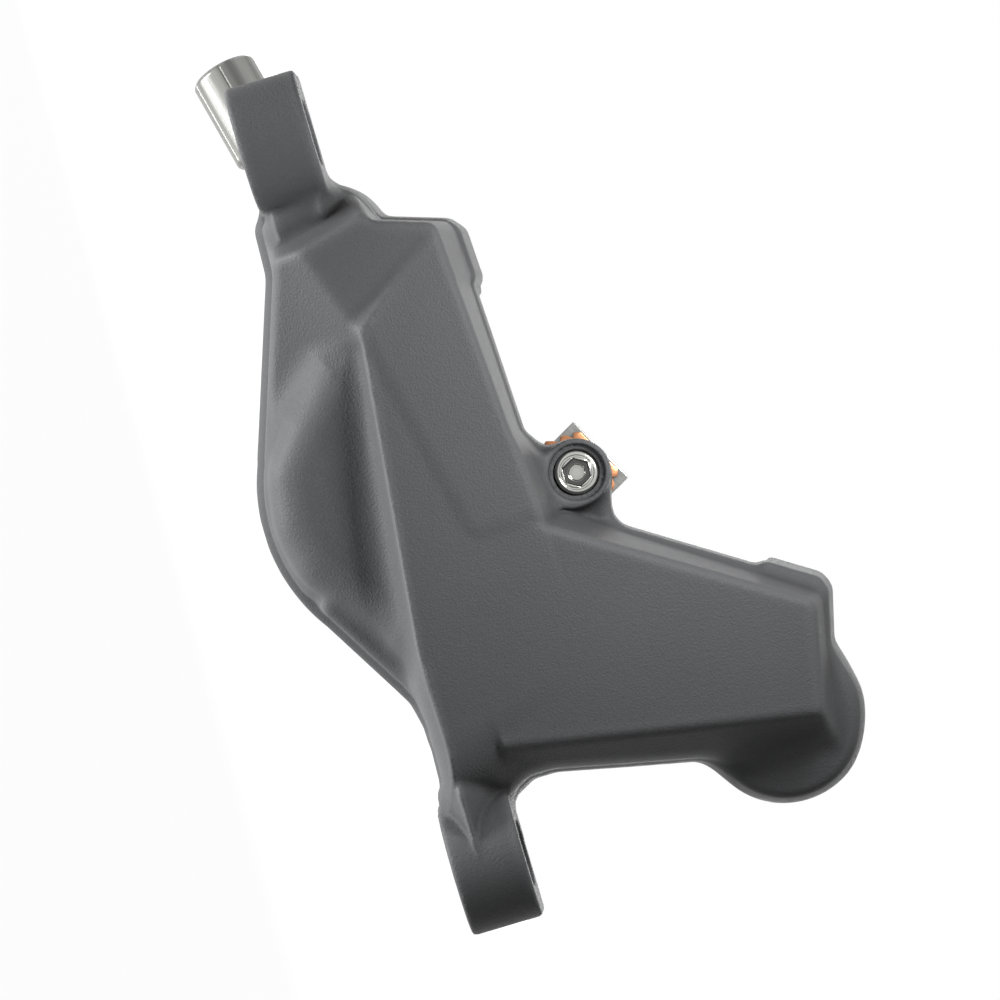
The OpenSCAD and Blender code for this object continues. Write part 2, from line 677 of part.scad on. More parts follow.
// Snap ring with an open side, in the groove at the pin's end
module pin_clip() {
    color("#8d9092") inboard() on_pad() translate([0, 0, inner_flank_h - 1.35]) difference() {
        cylinder(h = clip_t, d = pin_d + 3.2);
        translate([0, 0, -1]) cylinder(h = clip_t + 2, d = pin_d - 0.7);
        translate([-(pin_d - 0.9) / 2, -5, -1]) cube([pin_d - 0.9, 5, clip_t + 2]);
        for (m = [-1, 1]) translate([m * 1.9, 1.1, -1]) cylinder(h = clip_t + 2, r = 0.45);
    }
}

// Bleed screw with a hexagon head, seated over the crossover port
module bleed_screw() {
    top = inner_flank_h + 1;
    color("#8d9092") inboard() on_pad() translate(port) difference() {
        union() {
            translate([0, 0, top + hair]) cylinder(h = 0.8, d = bleed_d + 4);
            translate([0, 0, top + 0.8]) cylinder(h = 2.2, d = 7 / cos(30), $fn = 6);
            translate([0, 0, port_h + 1.4]) cylinder(h = top - port_h, d = bleed_d);
        }
        translate([0, 0, top - 1]) cylinder(h = 5, d = 3.4);
        translate([0, 0, port_h]) cylinder(h = 10, d = 1.4);
    }
}

// Rubber plug that keeps dirt out of the bleed screw
module bleed_cap() {
    top = inner_flank_h + 4;
    color("#1c1c1c") inboard() on_pad() translate(port) {
        translate([0, 0, top - 3]) cylinder(h = 3.2, d = 3.3);
        translate([0, 0, top + hair]) cylinder(h = 0.8, d = 6.6);
        translate([0, 0, top + 0.8]) cylinder(h = 0.7, d1 = 6.6, d2 = 5);
    }
}

// Banjo: an eye for the banjo bolt, and a spigot with a collar and a thread for the hose nut
module banjo() {
    reach = hose_reach - nut_l;
    color("#c9cac7") inboard() difference() {
        union() {
            on_banjo() cylinder(h = banjo_t, d = banjo_d, center = true);
            on_hose() {
                cylinder(h = reach - 1.5, d = 5);
                translate([0, 0, reach - 4.4]) cylinder(h = 2.9, d = nut_d - 0.4);
                cylinder(h = reach + hair, d = nut_d - 0.9);
                cylinder(h = reach + 4, d = nut_d - 1.4);
            }
        }
        on_banjo() {
            cylinder(h = 2 * banjo_t, d = banjo_bolt_d + 0.6, center = true);
            for (s = [0, 1]) mirror([0, 0, s]) translate([0, 0, banjo_t / 2]) cylinder(h = 5, d = washer_d + 0.6);
        }
        on_hose() cylinder(h = reach + 5, d = port_d);
    }
}

// Hollow bolt that clamps the banjo
module banjo_bolt() {
    seat = banjo_t / 2 + washer_t;
    color("#c9cac7") inboard() on_banjo() difference() {
        union() {
            translate([0, 0, seat]) cylinder(h = 2.6, d = 9);
            translate([0, 0, seat + 2.6]) cylinder(h = 0.4, d1 = 9, d2 = 8.2);
            translate([0, 0, -seat - 5.5]) cylinder(h = 2 * seat + 5.6, d = banjo_bolt_d);
        }
        translate([0, 0, seat + 0.6]) cylinder(h = 3, d = 4 / cos(30), $fn = 6);
        translate([0, 0, -seat - 6]) cylinder(h = seat + 7, d = port_d);
        rotate([90, 0, 0]) cylinder(h = 8, d = port_d, center = true);
    }
}

module banjo_washers() {
    color("#b87f4a") inboard() on_banjo() for (s = [0, 1]) mirror([0, 0, s])
        translate([0, 0, banjo_t / 2]) difference() {
            cylinder(h = washer_t, d = washer_d);
            translate([0, 0, -1]) cylinder(h = washer_t + 2, d = banjo_bolt_d + 0.4);
        }
}

// Nut that grips the hose, chamfered at both ends
module hose_nut() {
    bore = hose_d / 2 + 0.1;
    color("#c9cac7") inboard() on_hose() translate([0, 0, hose_reach - nut_l]) rotate_extrude()
        polygon([[nut_d / 2 - 0.65, 0.05], [nut_d / 2 - 0.3, 0.05], [nut_d / 2, 0.35], [nut_d / 2, nut_l - 0.5],
            [nut_d / 2 - 0.5, nut_l], [bore + 0.4, nut_l], [bore, nut_l - 0.4], [bore, 6.8],
            [nut_d / 2 - 0.65, 6.4]]);
}

// Brass ring that the nut squeezes onto the hose
module hose_olive() {
    color("#b08d4a") inboard() on_hose() translate([0, 0, hose_reach - nut_l + 4.1]) difference() {
        cylinder(h = 2.2, d = nut_d - 1.4);
        translate([0, 0, -1]) cylinder(h = 5, d = hose_d + 0.1);
    }
}

// Barbed insert that stiffens the hose's end
module hose_barb() {
    color("#c9cac7") inboard() on_hose() translate([0, 0, hose_reach - nut_l + 4]) difference() {
        union() {
            translate([0, 0, hair]) cylinder(h = 0.4, d = 4.4);
            cylinder(h = 2.5, d = port_d - 0.1);
            translate([0, 0, 1.2]) cylinder(h = 0.6, d1 = port_d + 0.3, d2 = port_d - 0.1);
        }
        translate([0, 0, -2]) cylinder(h = 6, d = port_d - 0.9);
    }
}

outer_half();
inner_half();
body_bolts();
crossover_seal();
outer_leading_piston();
outer_trailing_piston();
inner_leading_piston();
inner_trailing_piston();
outer_leading_seal();
outer_trailing_seal();
inner_leading_seal();
inner_trailing_seal();
outer_pad_plate();
outer_lining();
inner_pad_plate();
inner_lining();
pad_spring();
pad_pin();
pin_clip();
bleed_screw();
bleed_cap();
banjo();
banjo_bolt();
banjo_washers();
hose_nut();
hose_olive();
hose_barb();
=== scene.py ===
import math

import bmesh
import bpy
import numpy as np
from mathutils import Matrix, Vector


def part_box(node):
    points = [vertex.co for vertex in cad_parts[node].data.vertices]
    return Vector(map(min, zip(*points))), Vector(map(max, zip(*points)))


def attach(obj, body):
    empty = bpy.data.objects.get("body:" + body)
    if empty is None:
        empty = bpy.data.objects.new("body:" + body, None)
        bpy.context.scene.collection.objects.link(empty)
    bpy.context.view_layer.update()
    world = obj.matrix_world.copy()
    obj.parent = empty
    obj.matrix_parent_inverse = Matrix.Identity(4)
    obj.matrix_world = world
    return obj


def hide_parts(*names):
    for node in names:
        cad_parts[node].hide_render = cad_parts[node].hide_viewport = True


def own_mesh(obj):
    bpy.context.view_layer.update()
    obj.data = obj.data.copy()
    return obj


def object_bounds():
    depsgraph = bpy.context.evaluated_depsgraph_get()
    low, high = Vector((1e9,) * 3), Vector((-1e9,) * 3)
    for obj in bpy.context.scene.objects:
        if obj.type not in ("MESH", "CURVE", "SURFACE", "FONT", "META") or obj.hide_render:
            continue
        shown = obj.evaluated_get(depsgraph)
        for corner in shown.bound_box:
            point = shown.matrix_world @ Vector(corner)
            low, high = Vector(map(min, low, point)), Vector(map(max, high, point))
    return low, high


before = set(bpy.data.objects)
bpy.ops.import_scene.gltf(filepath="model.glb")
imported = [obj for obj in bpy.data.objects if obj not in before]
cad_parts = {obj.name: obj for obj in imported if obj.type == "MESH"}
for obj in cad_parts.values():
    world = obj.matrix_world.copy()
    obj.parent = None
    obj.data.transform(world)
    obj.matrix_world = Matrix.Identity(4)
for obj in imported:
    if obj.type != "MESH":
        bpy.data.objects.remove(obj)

box_of_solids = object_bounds()

# %% [markdown]
# The brake caliper stands in the frame that the fork gives it. X runs down the line of the two
# mounting ears, Z points towards the heads of the mounting bolts, and Y is the axle of the wheel.
# The rotor turns in the plane Y = 0, and the half of the caliper that a rider sees lies at
# negative Y. Sizes below are in millimetres, and each mesh is scaled to metres as it is made.

# %% Units and the sizes that several pieces share
MM = 0.001
POST_PITCH = 74.2
POST_OFFSET = 15.5
EAR_W = 12.5
EAR_T = 7.2
SLOT_W = 6.4
SLOT_LEN = 10.0
PAD_TURN = math.radians(28.6)
PAD_C, PAD_S = math.cos(PAD_TURN), math.sin(PAD_TURN)
PIN = np.array([2.5, 22.6])
print("sizes set, pin at", PIN)

# %% [markdown]
# The camera is a long lens, as in a catalogue picture: nearly parallel rays keep the two ears the
# same size. It looks along the wheel's axle, turned by about a degree so that the bolt-head faces
# of the ears just show. The line of the ears stands upright in the picture, leaning a little left.

# %% Camera
PICTURE_W, SENSOR_W = 98.59, 36
LEAN = math.atan2(0.2838, 0.9589)
AIM = np.array([2.99, -15.0, 14.62])
DISTANCE = 800.0
TURN = math.radians(1.3)
scene = bpy.context.scene


def in_scene(name, data):
    """New object, linked into the scene."""
    made = bpy.data.objects.new(name, data)
    scene.collection.objects.link(made)
    return made


right = Vector((math.sin(LEAN), 0, math.cos(LEAN)))
up = Vector((-math.cos(LEAN), 0, math.sin(LEAN)))
back = Vector((0, -1, 0))
back = (back * math.cos(TURN) + right * math.sin(TURN)).normalized()
right = up.cross(back).normalized()

camera_data = bpy.data.cameras.new("camera")
camera_data.sensor_width = SENSOR_W
camera_data.lens = SENSOR_W * DISTANCE / PICTURE_W
camera_data.clip_start = 0.01
camera_data.clip_end = 20
camera = in_scene("camera", camera_data)
turned = Matrix((right, up, back)).transposed().to_4x4()
camera.matrix_world = Matrix.Translation((Vector(AIM) + back * DISTANCE) * MM) @ turned
scene.camera = camera
print("camera lens", round(camera_data.lens), "mm")

# %% [markdown]
# The room is a pale floor and three soft lights: a wide window at the picture's left, a small box
# near the panel, and a weak fill behind the object that draws a line of light round its edges. The
# floor lets shadow rays through, so it stands in no light's way. Light Path makes the background
# white for the camera and for reflections, so the metal shows what a studio's walls would show.

# %% Room and lights
WHITE = (1, 1, 1, 1)
ROOM_LIGHT, FLOOR_LIGHT = 0.05, 0.93
FLOOR_SHADE, FLOOR_HALF = (0.86, 0.86, 0.86, 1), 420


def feed(tree, inputs, entries):
    """Set inputs to values, or link them to other nodes' outputs."""
    for label, value in entries.items():
        if isinstance(value, bpy.types.NodeSocket):
            tree.links.new(value, inputs[label])
        else:
            inputs[label].default_value = value


def node(tree, kind, entries=None, **settings):
    """Outputs of a new shader node, from its settings and what is fed into its inputs."""
    made = tree.nodes.new("ShaderNode" + kind)
    for label, value in settings.items():
        setattr(made, label, value)
    feed(tree, made.inputs, entries or {})
    return made.outputs


def sums(tree, operation, a, b):
    """Math node between two outputs or numbers."""
    return node(tree, "Math", {0: a, 1: b}, operation=operation)[0]


def empty_tree(owner):
    """Node tree of a world or a material, with nothing in it."""
    owner.use_nodes = True
    owner.node_tree.nodes.clear()
    return owner.node_tree


def white_to_camera(tree, shader, light):
    """Mix a shader with a light for camera, mirror and glass rays: all other rays keep it."""
    path = node(tree, "LightPath")
    either = sums(tree, "MAXIMUM", path["Is Camera Ray"], path["Is Glossy Ray"])
    any_of = sums(tree, "MAXIMUM", either, path["Is Transmission Ray"])
    return node(tree, "MixShader", {"Fac": any_of, 1: shader, 2: light})[0]


def lamp(name, place, target, size, watts):
    """Square soft box of a size in millimetres that faces a target."""
    data = bpy.data.lights.new(name, "AREA")
    data.shape = "RECTANGLE"
    data.size, data.size_y = size[0] * MM, size[1] * MM
    data.energy = watts
    holder = in_scene(name, data)
    holder.location = Vector(place) * MM
    aim = (Vector(target) - Vector(place)).normalized()
    holder.rotation_euler = aim.to_track_quat("-Z", "Y").to_euler()


def in_picture(across, upward, forward):
    """Point in the row frame, from millimetres across, up and towards the camera in the picture."""
    return Vector(AIM) + right * across + up * upward + back * forward


middle = in_picture(0, 0, 0)
lamp("left_window", in_picture(-390, 60, 34), middle, (120, 260), 3.8)
lamp("panel_box", in_picture(48, 36, 52), in_picture(0, 8, 5), (26, 26), 0.1)
lamp("back_fill", in_picture(0, 0, -500), middle, (300, 300), 0.8)

world = bpy.data.worlds.new("studio")
scene.world = world
tree = empty_tree(world)
dim, bright = (node(tree, "Background", {"Color": WHITE, "Strength": light})[0]
               for light in (ROOM_LIGHT, 1.0))
node(tree, "OutputWorld", {"Surface": white_to_camera(tree, dim, bright)})
scene.view_settings.view_transform = "Standard"

floor_z = box_of_solids[0][2] / MM
corners = np.array([(-1, -1), (1, -1), (1, 1), (-1, 1)]) * FLOOR_HALF
grid = np.column_stack([corners, np.full(4, floor_z)])
floor_mesh = bpy.data.meshes.new("floor")
floor_mesh.from_pydata((grid * MM).tolist(), [], [(0, 1, 2, 3)])
floor = in_scene("floor", floor_mesh)
paper = bpy.data.materials.new("paper")
tree = empty_tree(paper)
matt = node(tree, "BsdfDiffuse", {"Color": FLOOR_SHADE})[0]
glow = node(tree, "Emission", {"Color": WHITE, "Strength": FLOOR_LIGHT})[0]
lit = white_to_camera(tree, matt, node(tree, "AddShader", {0: matt, 1: glow})[0])
shadow = node(tree, "LightPath")["Is Shadow Ray"]
seen = node(tree, "MixShader", {"Fac": shadow, 1: lit, 2: node(tree, "BsdfTransparent")[0]})[0]
node(tree, "OutputMaterial", {"Surface": seen})
floor_mesh.materials.append(paper)
print("floor lies at", round(floor_z, 2), "mm")

# %% [markdown]
# The halves are castings: flat facets that meet in soft edges and run into each other through
# fillets. Bevels fail where many edges meet, so the casting is a field of distances. Each facet is
# a plane, a solid is the largest of its planes' distances, and two solids join at the smaller one.
# A smooth largest rounds an edge, a smooth smallest lays a fillet, and the skin is where it is zero.

# %% Field helpers
def fused(a, b, r=0.0):
    """Smaller of two distances, with a fillet: min(a, b) - r h^2 / 4, where h = 1 - |a - b| / r."""
    if r <= 0:
        return np.minimum(a, b)
    h = np.maximum(r - np.abs(a - b), 0) / r
    return np.minimum(a, b) - h * h * (r / 4)


def common(a, b, r=0.0):
    """Larger of two distances, with its edge rounded the same way."""
    return -fused(-a, -b, r)


def carved(a, b, r=0.0):
    """Solid a with solid b taken out of it."""
    return common(a, -b, r)


def facet(p, a, b, c):
    """Distance above the plane through three points, each given as across, along and height."""
    a, b, c = (np.array(q, float) for q in (a, b, c))
    n = np.cross(b - a, c - a)
    n = n * np.sign(n[2]) / np.linalg.norm(n)
    return (p[0] - a[0]) * n[0] + (p[1] - a[1]) * n[1] + (p[2] - a[2]) * n[2]


def solid_of(p, planes, r):
    """Everything under a list of facets, its edges rounded by r."""
    body = facet(p, *planes[0])
    for plane in planes[1:]:
        body = common(body, facet(p, *plane), r)
    return body


def from_axis(p, centre):
    """Distance from the upright axis through a point of the face."""
    return np.hypot(p[0] - centre[0], p[1] - centre[1])


def round_bar(p, centre, radius, low, high, r=0.0):
    """Upright cylinder: the larger of the distance past its wall and past its two ends."""
    ends = np.abs(p[2] - (low + high) / 2) - (high - low) / 2
    return common(from_axis(p, centre) - radius, ends, r)


def drilled(p, a, b, radius):
    """Straight drilling between two points: distance from the segment, less the radius."""
    a, b = np.array(a, float), np.array(b, float)
    v = b - a
    d = [p[i] - a[i] for i in range(3)]
    t = np.clip((d[0] * v[0] + d[1] * v[1] + d[2] * v[2]) / (v @ v), 0, 1)
    return np.sqrt(sum((d[i] - t * v[i]) ** 2 for i in range(3))) - radius


def on_pad(point):
    """Point of the face, from its place on the pads' own lines."""
    return PIN + (point[0] * PAD_C - point[1] * PAD_S, point[0] * PAD_S + point[1] * PAD_C)


def pad_lines(p):
    """Across and along the pads' own lines, from the pad pin, for points of the face."""
    x, z = p[0] - PIN[0], p[1] - PIN[1]
    return x * PAD_C + z * PAD_S, z * PAD_C - x * PAD_S


# %% [markdown]
# An outline is a list of corners, each with its own fillet. Its distance is worked out once on a
# flat table, and read back from the table for every point of the field.

# %% Outline helpers
def filleted(corners, step=0.25):
    """Closed outline from corners [x, z, radius]: each corner becomes an arc tangent to its sides."""
    points = []
    corners = np.array(corners, float)
    for i, (x, z, r) in enumerate(corners):
        here = np.array([x, z])
        before, after = corners[i - 1, :2] - here, corners[(i + 1) % len(corners), :2] - here
        u, v = before / np.linalg.norm(before), after / np.linalg.norm(after)
        half = math.acos(np.clip(u @ v, -1, 1)) / 2
        if r <= 0 or half > 1.55:
            points.append(here[None])
            continue
        reach = min(r / math.tan(half), 0.49 * min(np.linalg.norm(before), np.linalg.norm(after)))
        r = reach * math.tan(half)
        centre = here + (u + v) / np.linalg.norm(u + v) * r / math.sin(half)
        first, last = here + u * reach - centre, here + v * reach - centre
        turn = math.atan2(first[0] * last[1] - first[1] * last[0], first @ last)
        a = math.atan2(first[1], first[0]) + np.linspace(0, turn, max(3, int(abs(turn) * r / step)))
        points.append(centre + r * np.stack([np.cos(a), np.sin(a)], 1))
    return np.concatenate(points)


def outline_table(points, low, high, step=0.2):
    """Signed distance to a closed outline on a flat table: the least distance to a side, negative
    where a ray to the right crosses an odd number of sides."""
    x = np.arange(low[0], high[0] + step, step)
    z = np.arange(low[1], high[1] + step, step)
    gx, gz = np.meshgrid(x, z, indexing="ij")
    nearest = np.full(gx.shape, 1e9)
    crossings = np.zeros(gx.shape, int)
    for a, b in zip(points, np.roll(points, -1, axis=0)):
        v = b - a
        if v @ v < 1e-12:
            continue
        t = np.clip(((gx - a[0]) * v[0] + (gz - a[1]) * v[1]) / (v @ v), 0, 1)
        nearest = np.minimum(nearest, (gx - a[0] - t * v[0]) ** 2 + (gz - a[1] - t * v[1]) ** 2)
        spans = (a[1] > gz) != (b[1] > gz)
        rise = v[1] if abs(v[1]) > 1e-12 else 1e-12
        crossings += spans & (gx < a[0] + (gz - a[1]) * v[0] / rise)
    table = np.sqrt(nearest) * np.where(crossings % 2 == 1, -1, 1)

    def read(px, pz):
        """Distance at any point, between the table's four nearest values."""
        px, pz = np.broadcast_arrays(px, pz)
        u = np.clip((px - low[0]) / step, 0, len(x) - 1.001)
        w = np.clip((pz - low[1]) / step, 0, len(z) - 1.001)
        i, j = u.astype(int), w.astype(int)
        fu, fw = u - i, w - j
        near = table[i, j] * (1 - fu) + table[i + 1, j] * fu
        far = table[i, j + 1] * (1 - fu) + table[i + 1, j + 1] * fu
        return near * (1 - fw) + far * fw

    return read


# %% [markdown]
# The skin is found on a grid. A cell in which the field changes sign gets one vertex, at the mean
# of the crossings on its edges. A grid edge that changes sign gets one face, between the four cells
# round it. Each vertex then slides along the field's slope to zero: flats flat, bores round.

# %% Skin of a field
def skin(field, lines):
    """Vertices and quads where field is zero, on a grid given by three lists of grid lines."""
    x, y, z = (np.asarray(v, np.float32) for v in lines)
    value = field((x[:, None, None], y[None, :, None], z[None, None, :])).astype(np.float32)
    value = np.broadcast_to(value, (len(x), len(y), len(z)))
    inside = value < 0
    size = [n - 1 for n in inside.shape]
    corner = np.array([[i, j, k] for i in (0, 1) for j in (0, 1) for k in (0, 1)])
    count = np.zeros(size, np.int8)
    for i, j, k in corner:
        count += inside[i:size[0] + i, j:size[1] + j, k:size[2] + k]
    cells = np.argwhere((count > 0) & (count < 8))
    index = np.full(count.shape, -1, np.int32)
    index[tuple(cells.T)] = np.arange(len(cells))
    at = cells[:, None, :] + corner[None]
    v = value[at[..., 0], at[..., 1], at[..., 2]]
    place = np.stack([x[at[..., 0]], y[at[..., 1]], z[at[..., 2]]], -1)
    total, hits = np.zeros((len(cells), 3)), np.zeros(len(cells))
    for a in range(8):
        for b in range(a + 1, 8):
            if np.abs(corner[a] - corner[b]).sum() != 1:
                continue
            crossed = (v[:, a] < 0) != (v[:, b] < 0)
            t = np.where(crossed, v[:, a] / np.where(crossed, v[:, a] - v[:, b], 1), 0)
            along = (place[:, b] - place[:, a]) * t[:, None]
            total += np.where(crossed[:, None], place[:, a] + along, 0)
            hits += crossed
    points = total / hits[:, None]

    quads = []
    for axis in range(3):
        one, two = [(1, 2), (2, 0), (0, 1)][axis]
        head = np.moveaxis(inside, axis, 0)
        crossed = np.argwhere(head[:-1] != head[1:])
        edge = np.zeros_like(crossed)
        edge[:, [axis] + [a for a in range(3) if a != axis]] = crossed
        ok = (edge[:, one] > 0) & (edge[:, two] > 0)
        ok &= (edge[:, one] < size[one]) & (edge[:, two] < size[two])
        edge = edge[ok]
        outward = inside[tuple(edge.T)]
        ring = []
        for s, t in ((1, 1), (0, 1), (0, 0), (1, 0)):
            cell = edge.copy()
            cell[:, one] -= s
            cell[:, two] -= t
            ring.append(index[tuple(cell.T)])
        ring = np.stack(ring, 1)
        ring[outward] = ring[outward][:, ::-1]
        quads.append(ring[:, ::-1])
    quads = np.concatenate(quads)

    def slope(q, step=0.02):
        """Field and its gradient at points, from differences either side."""
        grad = [field(tuple((q + s).T)) - field(tuple((q - s).T)) for s in step * np.eye(3)]
        return field(tuple(q.T)), np.stack(grad, 1) / (2 * step)

    start = points.copy()
    room = 0.5 * max(np.diff(x).min(), 0.1)
    for _ in range(3):
        f, grad = slope(points)
        moved = points - grad * (f / np.maximum((grad ** 2).sum(1), 0.2))[:, None]
        points = start + np.clip(moved - start, -room, room)
    normal = slope(points)[1]
    normal /= np.maximum(np.linalg.norm(normal, axis=1), 1e-9)[:, None]
    return points, quads, normal


def face_lines(low, high, step, fine=()):
    """Grid lines from low to high, with a finer step inside each [start, end, step] stretch."""
    lines, at = [low], low
    while at < high:
        inside = [f[2] for f in fine if f[0] <= at < f[1]]
        at += inside[0] if inside else step
        lines.append(at)
    return np.array(lines)


# %% [markdown]
# Every new piece goes through one function that makes its mesh in metres, shades it smooth, hides
# the solids that it stands for, and lets it ride on the body that carries it.

# %% Mesh helper
OUTBOARD, INBOARD = -1, 1


def bend_of(points, quads, normals):
    """Bend of a surface at each point, in 1/mm, above 0 where it bulges: along every edge, the
    change of the normal times the edge, over the edge's length squared; then two averages."""
    a, b = quads.ravel(), np.roll(quads, -1, axis=1).ravel()
    both, size = np.concatenate([a, b]), len(points)
    edge = points[b] - points[a]
    turn = ((normals[b] - normals[a]) * edge).sum(1) / np.maximum((edge ** 2).sum(1), 0.01)
    count = np.maximum(np.bincount(both, minlength=size), 1)
    bend = np.bincount(both, np.concatenate([turn, turn]), size) / count
    return np.bincount(both, np.concatenate([bend[b], bend[a]]), size) / count


def carry(name, mesh, body, slot, *stands_for):
    """Object of a mesh that stands for nodes of the frame and rides on one of its bodies."""
    made = in_scene(name, mesh)
    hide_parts(*stands_for)
    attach(made, body)
    return made


def piece(name, points, faces, body, slot, stands_for, normals=None):
    """Object from points in millimetres, in the row frame, and faces given as rows of indices."""
    mesh = bpy.data.meshes.new(name)
    points, faces = np.asarray(points, float), np.asarray(faces, np.int32)
    mesh.vertices.add(len(points))
    mesh.vertices.foreach_set("co", (points * MM).astype(np.float32).ravel())
    mesh.loops.add(faces.size)
    mesh.loops.foreach_set("vertex_index", faces.ravel())
    mesh.polygons.add(len(faces))
    starts = np.arange(0, faces.size, faces.shape[1], dtype=np.int32)
    mesh.polygons.foreach_set("loop_start", starts)
    mesh.polygons.foreach_set("use_smooth", np.full(len(faces), True))
    mesh.update(calc_edges=True)
    mesh.validate()
    if normals is not None:
        mesh.normals_split_custom_set_from_vertices(normals.tolist())
        bend = bend_of(points, faces, normals).astype(np.float32)
        mesh.attributes.new("bend", "FLOAT", "POINT").data.foreach_set("value", bend)
    print(name, len(points), "points", len(faces), "faces")
    return carry(name, mesh, body, slot, *stands_for)


def skinned(name, field, lines, body, slot, stands_for, side=None):
    """Piece from the skin of a field. A field with a side is in face coordinates (across, along,
    height), and its height runs towards -Y on side -1 and +Y on side 1, where the faces are read
    backwards because the face is mirrored."""
    points, quads, normals = skin(field, lines)
    if side:
        points, normals = (np.stack([v[:, 0], side * v[:, 2], v[:, 1]], 1) for v in (points, normals))
    quads = quads[:, ::-1] if side == INBOARD else quads
    return piece(name, points, quads, body, slot, stands_for, normals)


# %% [markdown]
# The outboard half is one casting. A wide main panel falls away from a sharp crest, a facet rises
# to it from the fork's side, and a cover with a rolled edge sits over the leading piston. An arm
# reaches over the rotor to the domed bolt boss, and two ears carry the mounting bolts. Landmarks
# are points of the face, as across (down the ears' line) and along (towards the bolt heads).

# %% Landmarks of the outboard half
EAR_IN = POST_PITCH / 2 - EAR_W / 2
RIDGE_H, PANEL_FALL, PANEL_TILT = 25.0, 0.28, 0.04
TIP, FORK, BEND, VEE, ELBOW, SHELF = np.array([
    [-23.8, 16.2], [-16.4, 6.5], [15.0, 3.0], [35.4, 2.9], [6.6, 18.3], [-25.6, 2.9]])
ARM_END, ARM_TOE, ARM_HEEL, DOME, KNOB, APEX = np.array([
    [21.3, 41.6], [32.4, 39.3], [29.1, 21.3], [32.2, 35.3], [-27.25, 6.2], [-13.4, 2.8]])
ARM_H, COVER_H, BRIDGE_H, SHELF_H = 15.5, 22.7, 10.0, 24.2
ROLL, CREST_LIFT, BAND, DRAFT = 3.4, 0.4, 2.4, 0.045
COVER_CENTRE, COVER_R = np.array([-0.46, 9.09]), 18.0
DOME_R, DOME_H, KNOB_R, KNOB_H = 7.15, 5.0, 4.1, 12.5
PIN_BOSS_R, PIN_BOSS_H = 3.35, 13.0
PIN_SEAT_H = PIN_BOSS_H - 2.6


def panel_at(p):
    """Height of the wide panel, which falls away along the face and tilts a little across it."""
    return RIDGE_H - PANEL_TILT * (p[0] - FORK[0]) - PANEL_FALL * (p[1] - FORK[1])


def cover_at(p):
    """Height of the cover over the leading piston."""
    return COVER_H - 0.09 * (p[0] - APEX[0]) + 0.05 * (p[1] - APEX[1])


def arm_at(p):
    """Height of the arm: the panel's at the elbow, and the arm's own at its end."""
    start = panel_at(ELBOW)
    return start + (ARM_H - start) * (p[1] - ELBOW[1]) / (ARM_END[1] - ELBOW[1])


def lift(q, h):
    """Point of the face at a height."""
    return (q[0], q[1], h)


def on(height_at, q, extra=0.0):
    """Point of the face lifted onto a surface, and further by an extra height."""
    return lift(q, height_at(q) + extra)


print("crest runs from height", round(panel_at(FORK), 1), "to", round(panel_at(VEE), 1))

# %% Outline where the halves meet
EDGE = [
    [-31.35, 7.2, 0.5], [-29.5, 9.2, 2.0], [-27.2, 10.8, 1.5], [-25.1, 17.2, 1.2], [-23.9, 18.2, 1.0],
    [-19.1, 18.4, 0.6], [-18.4, 17.8, 0.6], [-2.9, 18.4, 2.2], [-0.3, 20.2, 1.0], [2.5, 22.6, 0],
    [5.4, 24.7, 1.2], [8.75, 24.9, 2.6], [16.5, 37.0, 1.0], [16.3, 38.1, 0.7], [19.3, 42.8, 1.2],
    [20.6, 43.2, 1.2], [26.0, 41.8, 3.0], [32.2, 42.4, 2.0], [34.5, 36.0, 2.0], [33.3, 27.0, 6.0],
    [31.6, 19.0, 8.0], [30.1, 12.2, 4.0], [30.1, 9.6, 2.0], [31.4, 7.2, 0.5], [31.4, 0.2, 0.8],
    [29.9, 1.0, 2.0], [25.0, 1.2, 3.0], [22.5, 1.0, 3.0], [19.8, 0.3, 3.0], [8.6, -6.4, 4.0],
    [-6.3, -7.96, 9.0], [-24.9, -1.5, 5.0], [-29.8, -1.3, 1.5], [-31.35, 0.4, 0.5],
]
FACE_BOX = (-36, -14), (44, 50)
edge_at = outline_table(filleted(EDGE), *FACE_BOX)


def rim(p):
    """Distance past the halves' common outline, with its round bosses."""
    d = np.minimum(edge_at(p[0], p[1]), np.maximum(from_axis(p, COVER_CENTRE) - COVER_R, p[1] + 2))
    for centre, radius, r in ((KNOB, KNOB_R, 1.2), (PIN, PIN_BOSS_R - 1.8, 2.0), (DOME, DOME_R, 2.5)):
        d = fused(d, from_axis(p, centre) - radius, r)
    return d


COVER_EDGE = [
    [-15.4, 1.6, 1.0], [-11.0, -3.6, 4.0], [-6.4, -7.0, 5.0], [-0.4, -8.0, 8.0], [5.0, -7.0, 6.0],
    [14.4, 0.7, 2.0], [14.4, 8, 0], [-12, 8, 0], [-15.4, 4.6, 1.0],
]
cover_edge_at = outline_table(filleted(COVER_EDGE), *FACE_BOX)
print("outline drawn with", len(EDGE), "corners")

# %% Outboard half: facets of the skin
def past(p, a, b):
    """Distance to the right of the upright plane through two points of the face."""
    v = np.subtract(b, a) / np.hypot(*np.subtract(b, a))
    return (p[0] - a[0]) * v[1] - (p[1] - a[1]) * v[0]


